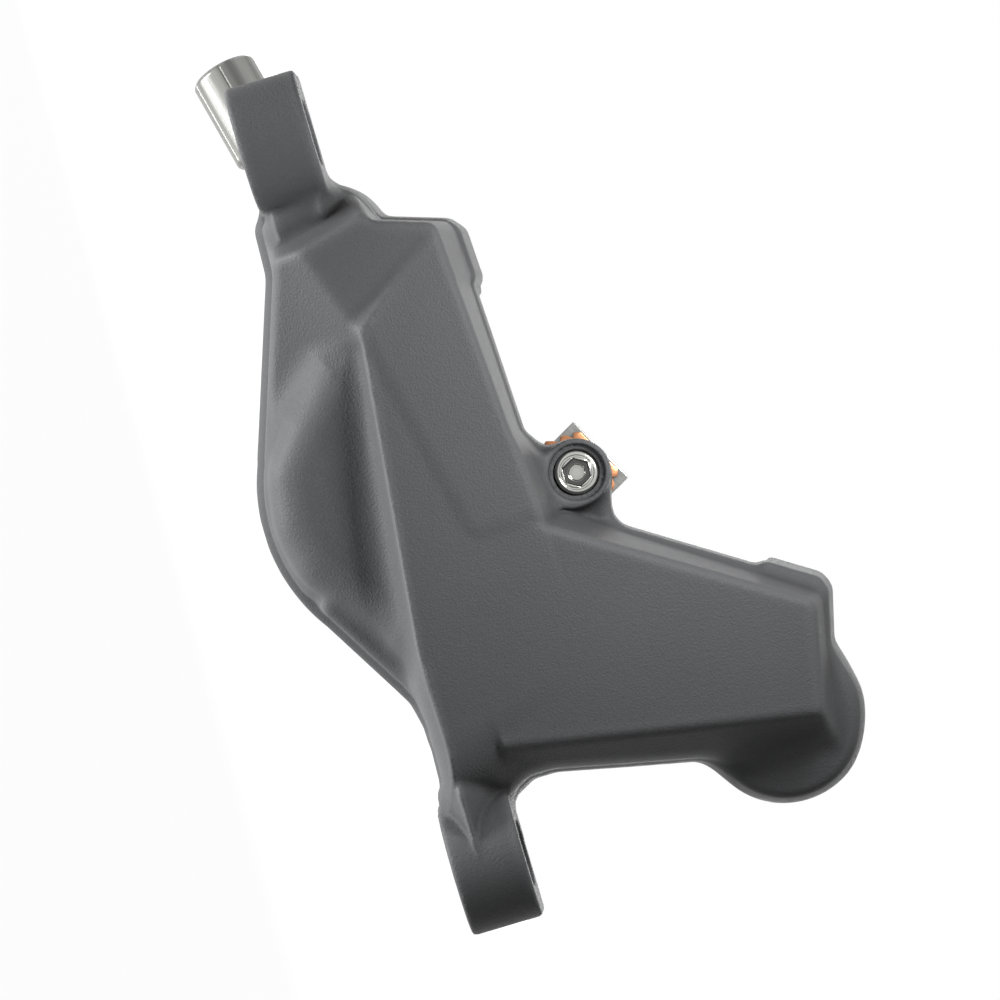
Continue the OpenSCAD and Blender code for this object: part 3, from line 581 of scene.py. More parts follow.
def under_panel(p):
    """Everything that the whole face keeps under: the panel inside its raised border, the level
    facet above the tip, the drafted strip along the window and the ramp to the lower ear."""
    p1, p2, p3 = (on(panel_at, q) for q in (TIP, FORK, ELBOW))
    high, tip, corner = on(panel_at, FORK, CREST_LIFT), on(panel_at, TIP, 0.1), lift(SHELF, SHELF_H)
    crest = facet(p, high, on(panel_at, BEND, CREST_LIFT), on(panel_at, FORK + (0, BAND)))
    ridge = facet(p, high, tip, on(panel_at, FORK + (BAND, 0)))
    d = fused(facet(p, p1, p2, p3), common(crest, ridge, 0.5), 0.5)
    step = facet(p, tip, high, lift(SHELF, SHELF_H - 6.5))
    shelf = facet(p, on(panel_at, TIP, -0.1), on(panel_at, FORK, -0.7), corner)
    d = common(d, fused(step, shelf, 0.3), 0.3)
    d = common(d, facet(p, p1, p3, (TIP[0], 18.1, 9)), 0.8)
    d = common(d, facet(p, corner, (-27.0, 8.5, 23.6), (-27.9, 4.5, 18.0)), 0.7)
    return common(d, facet(p, (27.4, 3.5, 24.1), (25.7, 10.9, 22.1), (31.0, 8.5, 15)), 3.0)


def fork_facet(p):
    """Steep plane below the edge from the shelf's corner to the fork of the crest."""
    return facet(p, lift(FORK, 24.7), lift(SHELF, SHELF_H), (FORK[0], FORK[1] - 4, 21.2))


def main_panel(p):
    """Wide panel, bounded towards the fork's side by a narrow steep strip below its crest."""
    high, bend = on(panel_at, FORK, CREST_LIFT), on(panel_at, BEND, CREST_LIFT)
    side = facet(p, high, bend, (0.5, 3.8, 21.4))
    side = fused(side, common(p[0] - FORK[0] - 0.5, fork_facet(p), 0.8), 1.0)
    end = facet(p, bend, on(panel_at, VEE, -0.9), (26, 0.9, 19))
    return common(common(under_panel(p), side, 0.4), end, 0.4)


def fork_side(p):
    """Scooped facet that rises from the fork's side to the shelf and the crest."""
    shallow = facet(p, (-10.5, -5.5, 16.6), (-25, -1.5, 20.6), (-10.5, -3.5, 17.4))
    d = common(fused(fork_facet(p), shallow, 2.6), under_panel(p), 0.9)
    return common(d, p[0] - 6, 2.0)


def piston_cover(p):
    """Level cover over the leading piston, whose edge rolls over into a drafted wall."""
    level = facet(p, *(on(cover_at, q) for q in (APEX, (0, 0), (8, -4))))
    a, b = (-13.2, 2.9), (11.8, 1.9)
    valley = facet(p, on(cover_at, a), on(cover_at, b), (-15.0, 6.2, cover_at(a) - 1.0))
    wall = cover_edge_at(p[0], p[1]) + 0.15 * (p[2] - 15)
    return common(common(level, valley, 1.5), wall, ROLL)


def lower_flank(p):
    """Flank that falls from the crest strip towards the rim, between the cover and the lower ear."""
    d = facet(p, (8.6, -6.4, 17.4), (19.8, 0.3, 14.2), (14, 2.2, 16.6))
    return common(common(d, 8 - p[0], 1.0), p[1] - 4, 1.0)


def lower_neck(p):
    """Roof-shaped neck that dies into the face of the lower ear."""
    top, end = on(panel_at, (20, 3)), lift(VEE, POST_OFFSET + 7.75)
    d = facet(p, top, end, (EAR_IN, 0.5, 18.0))
    d = common(d, facet(p, top, end, (EAR_IN, EAR_T + 0.2, 15)), 0.5)
    d = common(d, common(0.4 - p[1], p[1] - EAR_T + 0.2), 0.6)
    return common(common(d, p[0] - VEE[0] - 0.3), 28 - p[0], 2.0)


def arm(p):
    """Arm over the rotor: a crowned panel between drafted flanks."""
    a, b = on(arm_at, ELBOW), on(arm_at, ARM_END, 0.2)
    c, d = on(arm_at, ARM_TOE, -0.4), on(arm_at, ARM_HEEL, -0.2)
    body = solid_of(p, [(a, b, d), (a, b, (8.7, 24.9, 9)), (c, d, (33.3, 27, 13)),
                        (d, (26.4, 9.0, 22.9), (31.2, 10.0, 14)), (b, c, (26, 41.8, 9))], 0.9)
    return common(body, past(p, (0, 8), (30, 8)), 0.5)


def upper_neck(p):
    """Flat band that carries the upper ear, with a bevel on each side."""
    face, low, high = 18.4, 1.05, 5.75
    d = facet(p, (-EAR_IN, low, face + 0.3), (-26, low, face), (-26, high, face))
    for edge, side, drop in ((low, 0, 2.4), (high, EAR_T, 2.8)):
        bevel = facet(p, (-EAR_IN, edge, face + 0.3), (-26, edge, face), (-26, side, face - drop))
        d = common(d, bevel, 0.3)
    return common(d, p[0] + 22, 0.5)


def ear(p, side):
    """Full-round ear: distance past a rounded bar in the plane of the post seat."""
    x = np.abs(p[0] - side * POST_PITCH / 2)
    low = POST_OFFSET - SLOT_LEN / 2 - 3.1
    top = POST_OFFSET + SLOT_LEN / 2 - SLOT_W / 2
    wall = np.hypot(x, np.maximum(p[2] - top, 0)) - EAR_W / 2
    wall = common(wall, low - p[2], 0.5)
    return common(wall, np.abs(p[1] - EAR_T / 2) - EAR_T / 2, 0.45)


def ear_slot(p, side):
    """Slot for a mounting bolt, straight through the ear."""
    x, z = np.abs(p[0] - side * POST_PITCH / 2), np.abs(p[2] - POST_OFFSET)
    wall = np.hypot(x, np.maximum(z - (SLOT_LEN - SLOT_W) / 2, 0)) - SLOT_W / 2
    return common(wall, np.abs(p[1] - 4) - 8)


print("facets written")

# %% Hollows that both halves share
ROTOR_SLOT, ROTOR_R, PAD_HUB = 4.6, 102.5, 105.7
PLATE_OUT, PLATE_L, PLATE_CUT = -4.0, 22.0, 6.0
WINDOW, POCKET_H, RECESS_H, BORE_H = 19.55, 5.8, 6.45, 16.2
GROOVE_H, GROOVE_W, GROOVE_DEPTH = 9.15, 2.1, 1.8
LEADING, TRAILING = (-11.5, -16.0), (11.5, -16.0)
BORES = ((LEADING, 16.0), (TRAILING, 15.0))
UPPER_BOLT, LOWER_BOLT, PORT = (-24.5, 1.0), (32.15, -3.1), (24.0, 4.2)
THREAD_R, BOLT_HOLE_R, BOLT_HEAD_R = 3.05, 3.15, 5.0
PORT_R, PORT_SEAL_R, PIN_HOLE_R, PIN_HEAD_R, PIN_MOUTH_R = 1.1, 2.55, 1.55, 2.25, 2.8
LOW = PLATE_OUT - PLATE_L - 0.3
pocket_at = outline_table(filleted([
    [-WINDOW, 30, 0], [-WINDOW, LOW + PLATE_CUT, 1.0], [PLATE_CUT - WINDOW, LOW, 1.0],
    [WINDOW - PLATE_CUT, LOW, 1.0], [WINDOW, LOW + PLATE_CUT, 1.0], [WINDOW, 30, 0]]),
    (-60, -60), (60, 60), 0.25)


def hollows(p, d):
    """Rotor slot, pad pocket, piston bores with their seal grooves, and the pin's bore."""
    s, t = pad_lines(p)
    rotor = common(np.hypot(s, t + PAD_HUB) - ROTOR_R, p[2] - ROTOR_SLOT / 2, 0.2)
    d = carved(d, rotor, 0.3)
    d = carved(d, common(pocket_at(s, t), p[2] - POCKET_H, 0.3), 0.35)
    recess = common(np.abs(s) - 7, np.abs(t - 2.5) - 6.5, 0.5)
    d = carved(d, common(recess, p[2] - RECESS_H, 0.2), 0.2)
    for centre, size in BORES:
        r = from_axis((s, t), centre)
        d = carved(d, common(r - size / 2 - 0.05, p[2] - BORE_H, 0.2), 0.3)
        groove = common(r - size / 2 - GROOVE_DEPTH, np.abs(p[2] - GROOVE_H) - GROOVE_W / 2, 0.2)
        d = carved(d, groove, 0.2)
    return carved(d, np.hypot(s, t) - PIN_HOLE_R, 0.25)


print("pocket is", 2 * WINDOW, "mm wide")

# %% Field of the outboard half
def flange(p):
    """Share, from 0 to 1, by which the facets stand back from the rim: full along the fork's side."""
    return np.clip((6.0 - p[1]) / 4, 0, 1) * np.clip((24 - p[0]) / 6, 0, 1)


def outer_field(p):
    """Distance past the outboard half: facets within walls, bosses and ears, less every hole."""
    wall = rim(p) + DRAFT * (p[2] - BRIDGE_H)
    tops = main_panel(p)
    for form, r in ((arm, 0.4), (fork_side, 0.8), (piston_cover, 3.2), (lower_flank, 1.6),
                    (upper_neck, 0.9)):
        tops = fused(tops, form(p), r)
    d = common(tops, wall + 0.75 * flange(p), 0.9)
    d = fused(d, common(wall, p[2] - BRIDGE_H, 1.2), 0.9)
    d = fused(d, round_bar(p, KNOB, KNOB_R, 0, KNOB_H, 1.5), 1.0)
    dome = np.sqrt((p[0] - DOME[0]) ** 2 + (p[1] - DOME[1]) ** 2
                   + np.maximum(p[2] - DOME_H, 0) ** 2) - DOME_R
    d = fused(d, dome, 3.0)
    d = fused(d, round_bar(p, PIN, PIN_BOSS_R, 0, PIN_BOSS_H, 0.5), 2.2)
    for side in (-1, 1):
        d = fused(d, ear(p, side), 1.5)
    d = hollows(p, fused(d, lower_neck(p), 0.5))
    for side in (-1, 1):
        d = carved(d, ear_slot(p, side), 0.5)
    head = from_axis(p, PIN)
    d = carved(d, common(head - PIN_HEAD_R, PIN_SEAT_H - p[2]), 0.2)
    d = carved(d, common(head - PIN_MOUTH_R, PIN_BOSS_H - 0.5 - p[2]), 0.3)
    for bolt, depth in ((UPPER_BOLT, 11.0), (LOWER_BOLT, 8.5)):
        d = carved(d, round_bar(p, on_pad(bolt), THREAD_R, -2, depth, 0.2), 0.3)
    d = carved(d, round_bar(p, on_pad(PORT), PORT_R, -2, 7.6, 0.1), 0.2)
    return common(d, -p[2], 0.3)


GRID = 0.42
lines = (face_lines(-44.5, 44.5, GRID, [(-1.5, 6.5, 0.25)]),
         face_lines(-10.2, 44.6, GRID, [(18.6, 26.6, 0.25)]),
         face_lines(-0.6, 27.0, GRID))
outer = skinned("outer_body", outer_field, lines, "caliper", "body", ["outer_half"], OUTBOARD)

# %% [markdown]
# The inboard half carries two round covers over its pistons, bosses for the two long bolts, the
# bleed screw and the banjo, and a rib along each drilling that joins them. They are cylinders and
# capsules in the same field, so they grow out of the casting with the fillets of a mould.

# %% Field of the inboard half
FLANK_H, INNER_COVER_H, INNER_WALL, BANJO_FACE = 12.0, 19.2, 2.9, 14.5
BANJO = np.array([-28.0, 3.6])
# Flanks of the two wings: each plane runs through two points of the rim and one higher inside.
WING = [((-24.9, -1.5, 7.5), (-6.3, -7.96, 7.5), (-15, 0, 13.5)),
        ((-18.4, 17.8, 7.5), (-2.6, 18.4, 7.5), (-10, 12, 13.5)),
        ((-27.2, 10.8, 7.5), (-25.1, 17.2, 7.5), (-20, 12, 13.5))]
OVER = [((8.7, 24.9, 7.5), (16.5, 37, 7.5), (18, 27, 13.5)),
        ((33.3, 27, 7.5), (31.6, 19, 7.5), (26, 24, 13.5)),
        ((20.6, 43.2, 7.5), (26, 41.8, 7.5), (22, 36, 13.5))]
# Bosses on the pads' lines: centre, radius and height.
BOSSES = ((UPPER_BOLT, 6.0, 14.4), (LOWER_BOLT, 6.0, 14.4), (PORT, 4.5, 13.0),
          ((0, 0), PIN_BOSS_R, 10.5))


def inner_field(p):
    """Distance past the inboard half: wings, covers, bosses and ribs, less every hole."""
    on_lines = pad_lines(p)
    s, t = on_lines
    wing = common(solid_of(p, WING, 2.0), -past(p, (-40, 19.6), (60, 19.6)), 1.0)
    wing = common(wing, past(p, (3, 40), (8, 15)) - 6, 0)
    over = common(solid_of(p, OVER, 2.0), 3 - p[0], 1.0)
    d = common(fused(wing, over, 1.0), p[2] - FLANK_H, 1.6)
    d = common(d, rim(p) + 0.06 * p[2], 1.6)
    for centre, size in BORES:
        wall = from_axis(on_lines, centre) - size / 2 - INNER_WALL
        d = fused(d, common(wall, p[2] - INNER_COVER_H, 4.5), 2.2)
    web = common(np.abs(s) - 11.5, np.abs(t - LEADING[1]) - 4, 0)
    d = fused(d, common(web, p[2] - INNER_COVER_H + 1.2, 2.0), 1.5)
    for centre, radius, top in BOSSES:
        d = fused(d, common(from_axis(on_lines, centre) - radius, p[2] - top, 0.7), 1.5)
    a, b = np.append(on_pad(TRAILING), 13.0), np.append(on_pad(PORT), 9.0)
    d = fused(d, drilled(p, a, b, 2.5), 1.5)
    d = fused(d, drilled(p, (*BANJO, 8.6), (-7, 3.2, 12.2), 2.5), 1.5)
    d = fused(d, round_bar(p, BANJO, 5.3, 0, BANJO_FACE, 0.5), 1.5)
    d = hollows(p, d)
    for bolt in (UPPER_BOLT, LOWER_BOLT):
        r = from_axis(on_lines, bolt)
        d = carved(d, r - BOLT_HOLE_R, 0.2)
        d = carved(d, common(r - BOLT_HEAD_R, FLANK_H - 0.6 - p[2]), 0.3)
    r = from_axis(on_lines, PORT)
    d = carved(d, r - PORT_R, 0.1)
    d = carved(d, common(r - PORT_SEAL_R, 8.6 - p[2]), 0.2)
    d = carved(d, round_bar(p, BANJO, THREAD_R, 6.5, 30), 0.3)
    return common(d, -p[2], 0.3)


lines = [face_lines(low, high, GRID) for low, high in ((-34, 41.5), (-10.2, 44.6), (-0.6, 20.6))]
inner = skinned("inner_body", inner_field, lines, "caliper", "body", ["inner_half"], INBOARD)

# %% [markdown]
# The casting is blasted and anodised: an even dark grey with tiny painted glints in its grain. The grain
# is solid noise in millimetres, so it can't stretch over the curves. It is a node group that every
# rough surface shares, and it puts out a shade, a roughness and a height, and no shader.

# %% Shared grain
def socket(tree, label, way, kind="Float"):
    """New socket on a node group, on its INPUT or OUTPUT side."""
    return tree.interface.new_socket(name=label, in_out=way, socket_type="NodeSocket" + kind)


def group(name, numbers):
    """Empty shader node group: a vector and numbers with their defaults go in, and a shade, a
    roughness and a height come out."""
    tree = bpy.data.node_groups.new(name, "ShaderNodeTree")
    socket(tree, "Vector", "INPUT", "Vector")
    for label, value in numbers.items():
        socket(tree, label, "INPUT").default_value = value
    for label in ("Shade", "Roughness", "Height"):
        socket(tree, label, "OUTPUT")
    return tree, tree.nodes.new("NodeGroupInput").outputs, tree.nodes.new("NodeGroupOutput").inputs


def ramp(tree, value, low, high, start=0.0, end=1.0):
    """Straight change from start to end while a value goes from low to high, held past both."""
    return node(tree, "MapRange", {"Value": value, "From Min": low, "From Max": high,
                                   "To Min": start, "To Max": end})[0]


def scaled(tree, vector, factors=(1, 1, 1)):
    """Vector in millimetres, with each direction multiplied by its own factor."""
    per_mm = tuple(f / MM for f in factors)
    return node(tree, "VectorMath", {0: vector, 1: per_mm}, operation="MULTIPLY")[0]


def noise(tree, vector, scale, detail):
    """Soft noise from 0 to 1, with a scale per unit of the vector."""
    return node(tree, "TexNoise", {"Vector": vector, "Scale": scale, "Detail": detail})[0]


def swing(tree, value, amount):
    """Noise about its middle: amount (value - 0.5)."""
    return sums(tree, "MULTIPLY", sums(tree, "SUBTRACT", value, 0.5), amount)


def blasted_grain():
    """Blasted surface: fine noise for the pits, a wide noise for the tone and sparse small painted
    glints.
    """
    tree, given, out = group("blasted_grain", {"Grain per mm": 4.6, "Contrast": 0.26, "Roughness": 0.5})
    mm = scaled(tree, given["Vector"])
    pits = node(tree, "TexNoise", {"Vector": mm, "Scale": given["Grain per mm"], "Detail": 2.0,
                                   "Roughness": 0.6})[0]
    # Painted glints: small bright spots added to the shade of the colour.
    painted_glint = node(tree, "TexVoronoi", {"Vector": mm, "Scale": 2.6})["Distance"]
    painted_glint = sums(tree, "MULTIPLY", ramp(tree, painted_glint, 0.04, 0.16, 1.0, 0.0), given["Contrast"])
    rough = swing(tree, pits, given["Contrast"])
    wide = swing(tree, noise(tree, mm, 0.09, 1.0), 0.1)
    shade = sums(tree, "ADD", sums(tree, "ADD", rough, wide), painted_glint)
    rough = sums(tree, "ADD", given["Roughness"], sums(tree, "MULTIPLY", rough, 0.6))
    feed(tree, out, {"Shade": sums(tree, "ADD", shade, 1.0), "Roughness": rough, "Height": pits})
    return tree


GRAIN = blasted_grain()
print("group", GRAIN.name, "has", len(GRAIN.nodes), "nodes")

# %% [markdown]
# The casting's edges get a painted highlight and its fillets painted shade. The mesh carries its own
# bend on every point, above 0 along an edge and below 0 in a fillet, and a ramp turns it into a shade.

# %% Material helper and the casting's finish
def finish(name, colour, metallic, roughness, specular=0.5):
    """Material, its tree, the inputs of its Principled shader with their numbers, and coordinates."""
    made = bpy.data.materials.new(name)
    made.use_nodes = True
    shader = made.node_tree.nodes["Principled BSDF"]
    feed(made.node_tree, shader.inputs, {"Base Color": (*colour, 1), "Metallic": metallic,
                                         "Roughness": roughness, "Specular IOR Level": specular})
    return made, made.node_tree, shader.inputs, node(made.node_tree, "TexCoord")["Object"]


def tinted(tree, colour, shade):
    """Colour times a shade that changes over the surface."""
    return node(tree, "VectorMath", {0: colour, "Scale": shade}, operation="SCALE")[0]


def bump(tree, height, depth_mm):
    """Normals of a height that goes from 0 to 1, over a depth in millimetres."""
    return node(tree, "Bump", {"Height": height, "Strength": 1.0, "Distance": depth_mm * MM})[0]


def lead(tree, shader, colour, shade, marks, depth_mm):
    """Colour times a shade, and a group's roughness and height, into the shader."""
    feed(tree, shader, {"Base Color": tinted(tree, colour, shade), "Roughness": marks["Roughness"],
                        "Normal": bump(tree, marks["Height"], depth_mm)})


BODY_GREY, BODY_ROUGHNESS = (0.071, 0.072, 0.074), 0.46
body_grey, tree, shader, place = finish("blasted_grey", BODY_GREY, 0.0, BODY_ROUGHNESS, 0.08)
grain = node(tree, "Group", {"Vector": place, "Roughness": BODY_ROUGHNESS}, node_tree=GRAIN)
bend = node(tree, "Attribute", attribute_name="bend")["Fac"]
# Painted highlight along the edges and painted shade in the fillets, both from the bend.
painted_edge_light_and_fillet_shade = sums(tree, "MULTIPLY", grain["Shade"], ramp(tree, bend, -0.6, 0.6, 0.72, 1.28))
lead(tree, shader, BODY_GREY, painted_edge_light_and_fillet_shade, grain, 0.075)
for half in (outer, inner):
    half.data.materials.append(body_grey)
print("both halves wear", body_grey.name)

# %% [markdown]
# A turned piece has rings round its axis, a drawn one has streaks along it. Both are stretched
# noise, so each is one node group for coordinates whose Z is the axis. A Mapping node in each
# material lays them so.

# %% Shared machining marks
def marks_out(tree, given, out, fine, wide):
    """Shade 1 + Contrast (fine - 0.5) + Tone (wide - 0.5), and a roughness that follows the marks."""
    marks = swing(tree, fine, given["Contrast"])
    shade = sums(tree, "ADD", marks, swing(tree, wide, given["Tone"]))
    rough = sums(tree, "ADD", sums(tree, "MULTIPLY", marks, 0.3), given["Roughness"])
    feed(tree, out, {"Shade": sums(tree, "ADD", shade, 1.0), "Roughness": rough, "Height": fine})
    return tree


def drawn_lines():
    """Streaks along Z: noise that varies across Z many times faster than along it."""
    tree, given, out = group("drawn_lines", {"Contrast": 0.4, "Tone": 0.5, "Roughness": 0.3})
    fine = noise(tree, scaled(tree, given["Vector"], (6.0, 6.0, 0.12)), 1.0, 3.0)
    wide = noise(tree, scaled(tree, given["Vector"], (0.7, 0.7, 0.01)), 1.0, 1.0)
    return marks_out(tree, given, out, fine, wide)


def round_z(tree, vector):
    """Distance from Z and place along Z, in millimetres."""
    parts = node(tree, "SeparateXYZ", {0: scaled(tree, vector)})
    flat = node(tree, "CombineXYZ", {0: parts[0], 1: parts[1]})[0]
    return node(tree, "VectorMath", {0: flat}, operation="LENGTH")["Value"], parts[2]


def turned_lines():
    """Rings round Z: noise of the distance from Z and of the place along it, and of nothing else."""
    tree, given, out = group("turned_lines", {"Contrast": 0.3, "Tone": 0.2, "Roughness": 0.3})
    radius, along = round_z(tree, given["Vector"])
    ring = node(tree, "CombineXYZ", {0: radius, 1: along})[0]
    return marks_out(tree, given, out, noise(tree, ring, 9.0, 2.0), noise(tree, ring, 0.9, 1.0))


DRAWN, TURNED = drawn_lines(), turned_lines()


def along_axis(tree, place, base, axis):
    """Object coordinates moved and turned so that base is the origin and axis is Z."""
    turn = Vector(axis).to_track_quat("Z", "Y").to_matrix().transposed()
    return node(tree, "Mapping", {"Vector": place, "Rotation": turn.to_euler(),
                                  "Location": turn @ Vector(base) * -MM})[0]


def metal(name, colour, roughness, lines, base, axis=(0, 1, 0), contrast=0.3, tone=0.2, depth=0.01):
    """Bare metal with machining marks about its own axis."""
    made, tree, shader, place = finish(name, colour, 1.0, roughness)
    marks = node(tree, "Group", {"Vector": along_axis(tree, place, base, axis), "Contrast": contrast,
                                 "Tone": tone, "Roughness": roughness}, node_tree=lines)
    lead(tree, shader, colour, marks["Shade"], marks, depth)
    return made


print("groups", DRAWN.name, TURNED.name)

# %% [markdown]
# The small hardware comes from the frame with the right shape but dead sharp corners, and real
# corners catch a line of light. Each node gets three modifiers: Weld joins its loose triangles,
# Bevel rounds its corners by about a tenth of a millimetre, and a geometry node tree shades it
# smooth wherever two faces meet at a shallow angle.

# %% Softened edges for the carried-over nodes
def smooth_shading(limit):
    """Geometry nodes: shade smooth, and keep an edge sharp where its angle is over the limit."""
    tree = bpy.data.node_groups.new("smooth_by_angle", "GeometryNodeTree")
    for way in ("INPUT", "OUTPUT"):
        socket(tree, "Geometry", way, "Geometry")
    start, end, angle, below, faces, edges = (tree.nodes.new(kind) for kind in (
        "NodeGroupInput", "NodeGroupOutput", "GeometryNodeInputMeshEdgeAngle", "FunctionNodeCompare",
        "GeometryNodeSetShadeSmooth", "GeometryNodeSetShadeSmooth"))
    below.operation = "LESS_THAN"
    below.inputs[1].default_value = limit
    faces.domain, edges.domain = "FACE", "EDGE"
    for output, entry in ((angle.outputs["Unsigned Angle"], below.inputs[0]),
                          (start.outputs[0], faces.inputs["Geometry"]),
                          (faces.outputs[0], edges.inputs["Geometry"]),
                          (below.outputs[0], edges.inputs["Shade Smooth"]),
                          (edges.outputs[0], end.inputs[0])):
        tree.links.new(output, entry)
    return tree


SMOOTH = smooth_shading(math.radians(32))


def soften(thing, width):
    """Weld, bevel by a width in millimetres and smooth shading, all as modifiers."""
    weld = thing.modifiers.new("weld", "WELD")
    weld.merge_threshold = 0.002 * MM
    bevel = thing.modifiers.new("soft_edges", "BEVEL")
    bevel.width, bevel.segments = width * MM, 2
    bevel.limit_method, bevel.angle_limit = "ANGLE", math.radians(40)
    thing.modifiers.new("smooth", "NODES").node_group = SMOOTH


def centre_of(name):
    """Middle of a node's box, in millimetres."""
    low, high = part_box(name)
    return [(a + b) / 2 / MM for a, b in zip(low, high)]


def dress(names, material, width):
    """Give nodes of the frame one material, and soft edges of a width in millimetres."""
    for name in names:
        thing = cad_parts[name]
        thing.data.materials.clear()
        thing.data.materials.append(material)
        soften(thing, width)


print("softening ready")

# %% [markdown]
# The hose fitting shows behind the upper ear. Its sleeve is a drawn tube with six fine lines along
# it, so it is a profile carried round an axis. The banjo has an eye and a stepped spigot that grow
# into each other, which again is easiest as a field.

# %% Hose sleeve
HOSE_TURN, HOSE_LEAN = math.radians(13.5), math.radians(13)
HOSE_END = np.array([-28.0, 18.6, 3.6])
HOSE_AXIS = np.array([-math.cos(HOSE_LEAN) * math.cos(HOSE_TURN), math.sin(HOSE_LEAN),
                      -math.cos(HOSE_LEAN) * math.sin(HOSE_TURN)])
HOSE_REACH, NUT_L, NUT_R, HOSE_R = 21.0, 10.2, 3.5, 2.6


def about(axis):
    """Two directions that make a right-handed frame with an axis; the first faces the camera."""
    first = np.array([0, -1.0, 0])
    first -= axis * (first @ axis)
    first /= np.linalg.norm(first)
    return first, np.cross(axis, first)


def evenly(points, gap):
    """Points at equal distances along a closed outline."""
    closed = np.vstack([points, points[:1]])
    far = np.append(0, np.cumsum(np.hypot(*np.diff(closed, axis=0).T)))
    at = np.linspace(0, far[-1], int(far[-1] / gap), endpoint=False)
    return np.stack([np.interp(at, far, closed[:, i]) for i in (0, 1)], 1)


def carried_round(profile, base, axis, count, radius):
    """Ring surface: profile point (r, h) at turn t lies at base + h axis + R (first cos t + second
    sin t), where R is the radius that is left of r at that turn."""
    first, second = about(axis)
    turn = np.linspace(0, 2 * math.pi, count, endpoint=False)
    r = radius(profile[:, :1], turn[None])
    spoke = np.cos(turn)[:, None] * first + np.sin(turn)[:, None] * second
    points = base + profile[:, 1][:, None, None] * axis + r[..., None] * spoke
    i = np.arange(len(profile))[:, None] * count
    j = np.arange(count)[None]
    after, beside = (i + count) % (len(profile) * count), (j + 1) % count
    faces = np.stack([i + j, i + beside, after + beside, after + j], -1)
    return points.reshape(-1, 3), faces.reshape(-1, 4)


def six_lines(r, turn):
    """Outer wall cut by six grooves 0.1 mm deep: r - 0.1 exp(-(distance from the line / 0.07)^2)."""
    off = (turn + math.pi / 6) % (math.pi / 3) - math.pi / 6
    wall = np.clip((r - NUT_R + 0.3) / 0.25, 0, 1)
    return r - 0.1 * wall * np.exp(-(off * NUT_R / 0.07) ** 2)


nut_profile = evenly(filleted([
    [NUT_R - 0.65, 0.05, 0.1], [NUT_R - 0.3, 0.05, 0.15], [NUT_R, 0.35, 0.3], [NUT_R, NUT_L - 0.45, 0.3],
    [NUT_R - 0.45, NUT_L, 0.2], [HOSE_R + 0.4, NUT_L, 0.1], [HOSE_R, NUT_L - 0.4, 0.2],
    [HOSE_R, 6.8, 0.1], [NUT_R - 0.65, 6.4, 0.1]], 0.04), 0.16)
nut_base = HOSE_END + HOSE_AXIS * (HOSE_REACH - NUT_L)
points, quads = carried_round(nut_profile, nut_base, HOSE_AXIS, 360, six_lines)
sleeve = piece("hose_sleeve", points, quads, "hose_end", "fitting", ["hose_nut"])

# %% Banjo
EYE_R, EYE_HALF, EYE_HOLE, FACE_R = 5.2, 3.3, 3.3, 5.0


def banjo_field(p):
    """Eye round the bolt, spigot with a collar and a thread along the hose, less their bores."""
    d = [p[i] - HOSE_END[i] for i in range(3)]
    u = d[0] * HOSE_AXIS[0] + d[1] * HOSE_AXIS[1] + d[2] * HOSE_AXIS[2]
    r = np.sqrt(np.maximum(d[0] ** 2 + d[1] ** 2 + d[2] ** 2 - u * u, 0))
    eye = np.hypot(d[0], d[2])
    reach = HOSE_REACH - NUT_L
    body = common(eye - EYE_R, np.abs(d[1]) - EYE_HALF, 0.6)
    body = fused(body, common(r - NUT_R + 0.45, np.maximum(-u, u - reach - 0.02), 0.15), 0.8)
    body = fused(body, common(r - NUT_R + 0.2, np.abs(u - reach + 2.95) - 1.45, 0.35), 0.2)
    thread = 0.12 * np.abs(((u / 0.75) % 1) * 2 - 1)
    body = fused(body, common(r - NUT_R + 0.7 + thread, np.maximum(-u, u - reach - 4.0), 0.3), 0.1)
    body = carved(body, common(eye - FACE_R, EYE_HALF - np.abs(d[1])), 0.1)
    body = carved(body, eye - EYE_HOLE, 0.3)
    return carved(body, common(r - 1.1, -u), 0.15)


lines = [face_lines(low, high, 0.2) for low, high in ((-43.8, -22.2), (14.8, 25.6), (-4.6, 9.4))]
banjo = skinned("banjo_body", banjo_field, lines, "hose_end", "fitting", ["banjo"])

# %% [markdown]
# The pad pin is the brightest thing beside the window: a polished head with a rounded rim, a fine
# groove inside it and a hexagon socket over a drilled centre.

# %% Pad pin
HEAD_R, SHANK_R, SOCKET = 2.2, 1.5, 2.5


def hexagon(x, z, flats):
    """Distance past the nearest of three pairs of flats."""
    sides = [np.abs(x * math.cos(a) + z * math.sin(a)) for a in (0, math.pi / 3, 2 * math.pi / 3)]
    return np.maximum.reduce(sides) - flats / 2


def pin_field(p):
    """Head and shank, less the socket, the ring groove and the groove for the snap ring."""
    s, t = pad_lines(p)
    r, h = np.hypot(s, t), p[2]
    seat, tail, clip = PIN_SEAT_H, FLANK_H + 1.7, FLANK_H - 1.4
    d = common(r - HEAD_R, np.abs(h - seat - 1.25) - 1.25, 0.5)
    d = fused(d, common(r - SHANK_R, np.maximum(h - seat - 0.5, -tail - h), 0.35), 0.1)
    d = carved(d, common(np.abs(r - 1.62) - 0.1, seat + 2.36 - h, 0.05), 0.12)
    d = carved(d, common(hexagon(s, t, SOCKET), seat + 0.9 - h, 0.15), 0.16)
    d = carved(d, common(r - 0.8, seat + 0.35 - h, 0.1), 0.12)
    return carved(d, common(1.1 - r, np.abs(h + clip + 0.35) - 0.35), 0.05)


lines = (face_lines(PIN[0] - 2.4, PIN[0] + 2.4, 0.08), face_lines(PIN[1] - 2.4, PIN[1] + 2.4, 0.08),
         face_lines(-14.0, 13.1, 0.4, [(-13.9, -13.2, 0.1), (-11.6, -10.3, 0.1), (9.9, 13.2, 0.08)]))
pin = skinned("pin_with_socket", pin_field, lines, "caliper", "pin", ["pad_pin"], OUTBOARD)
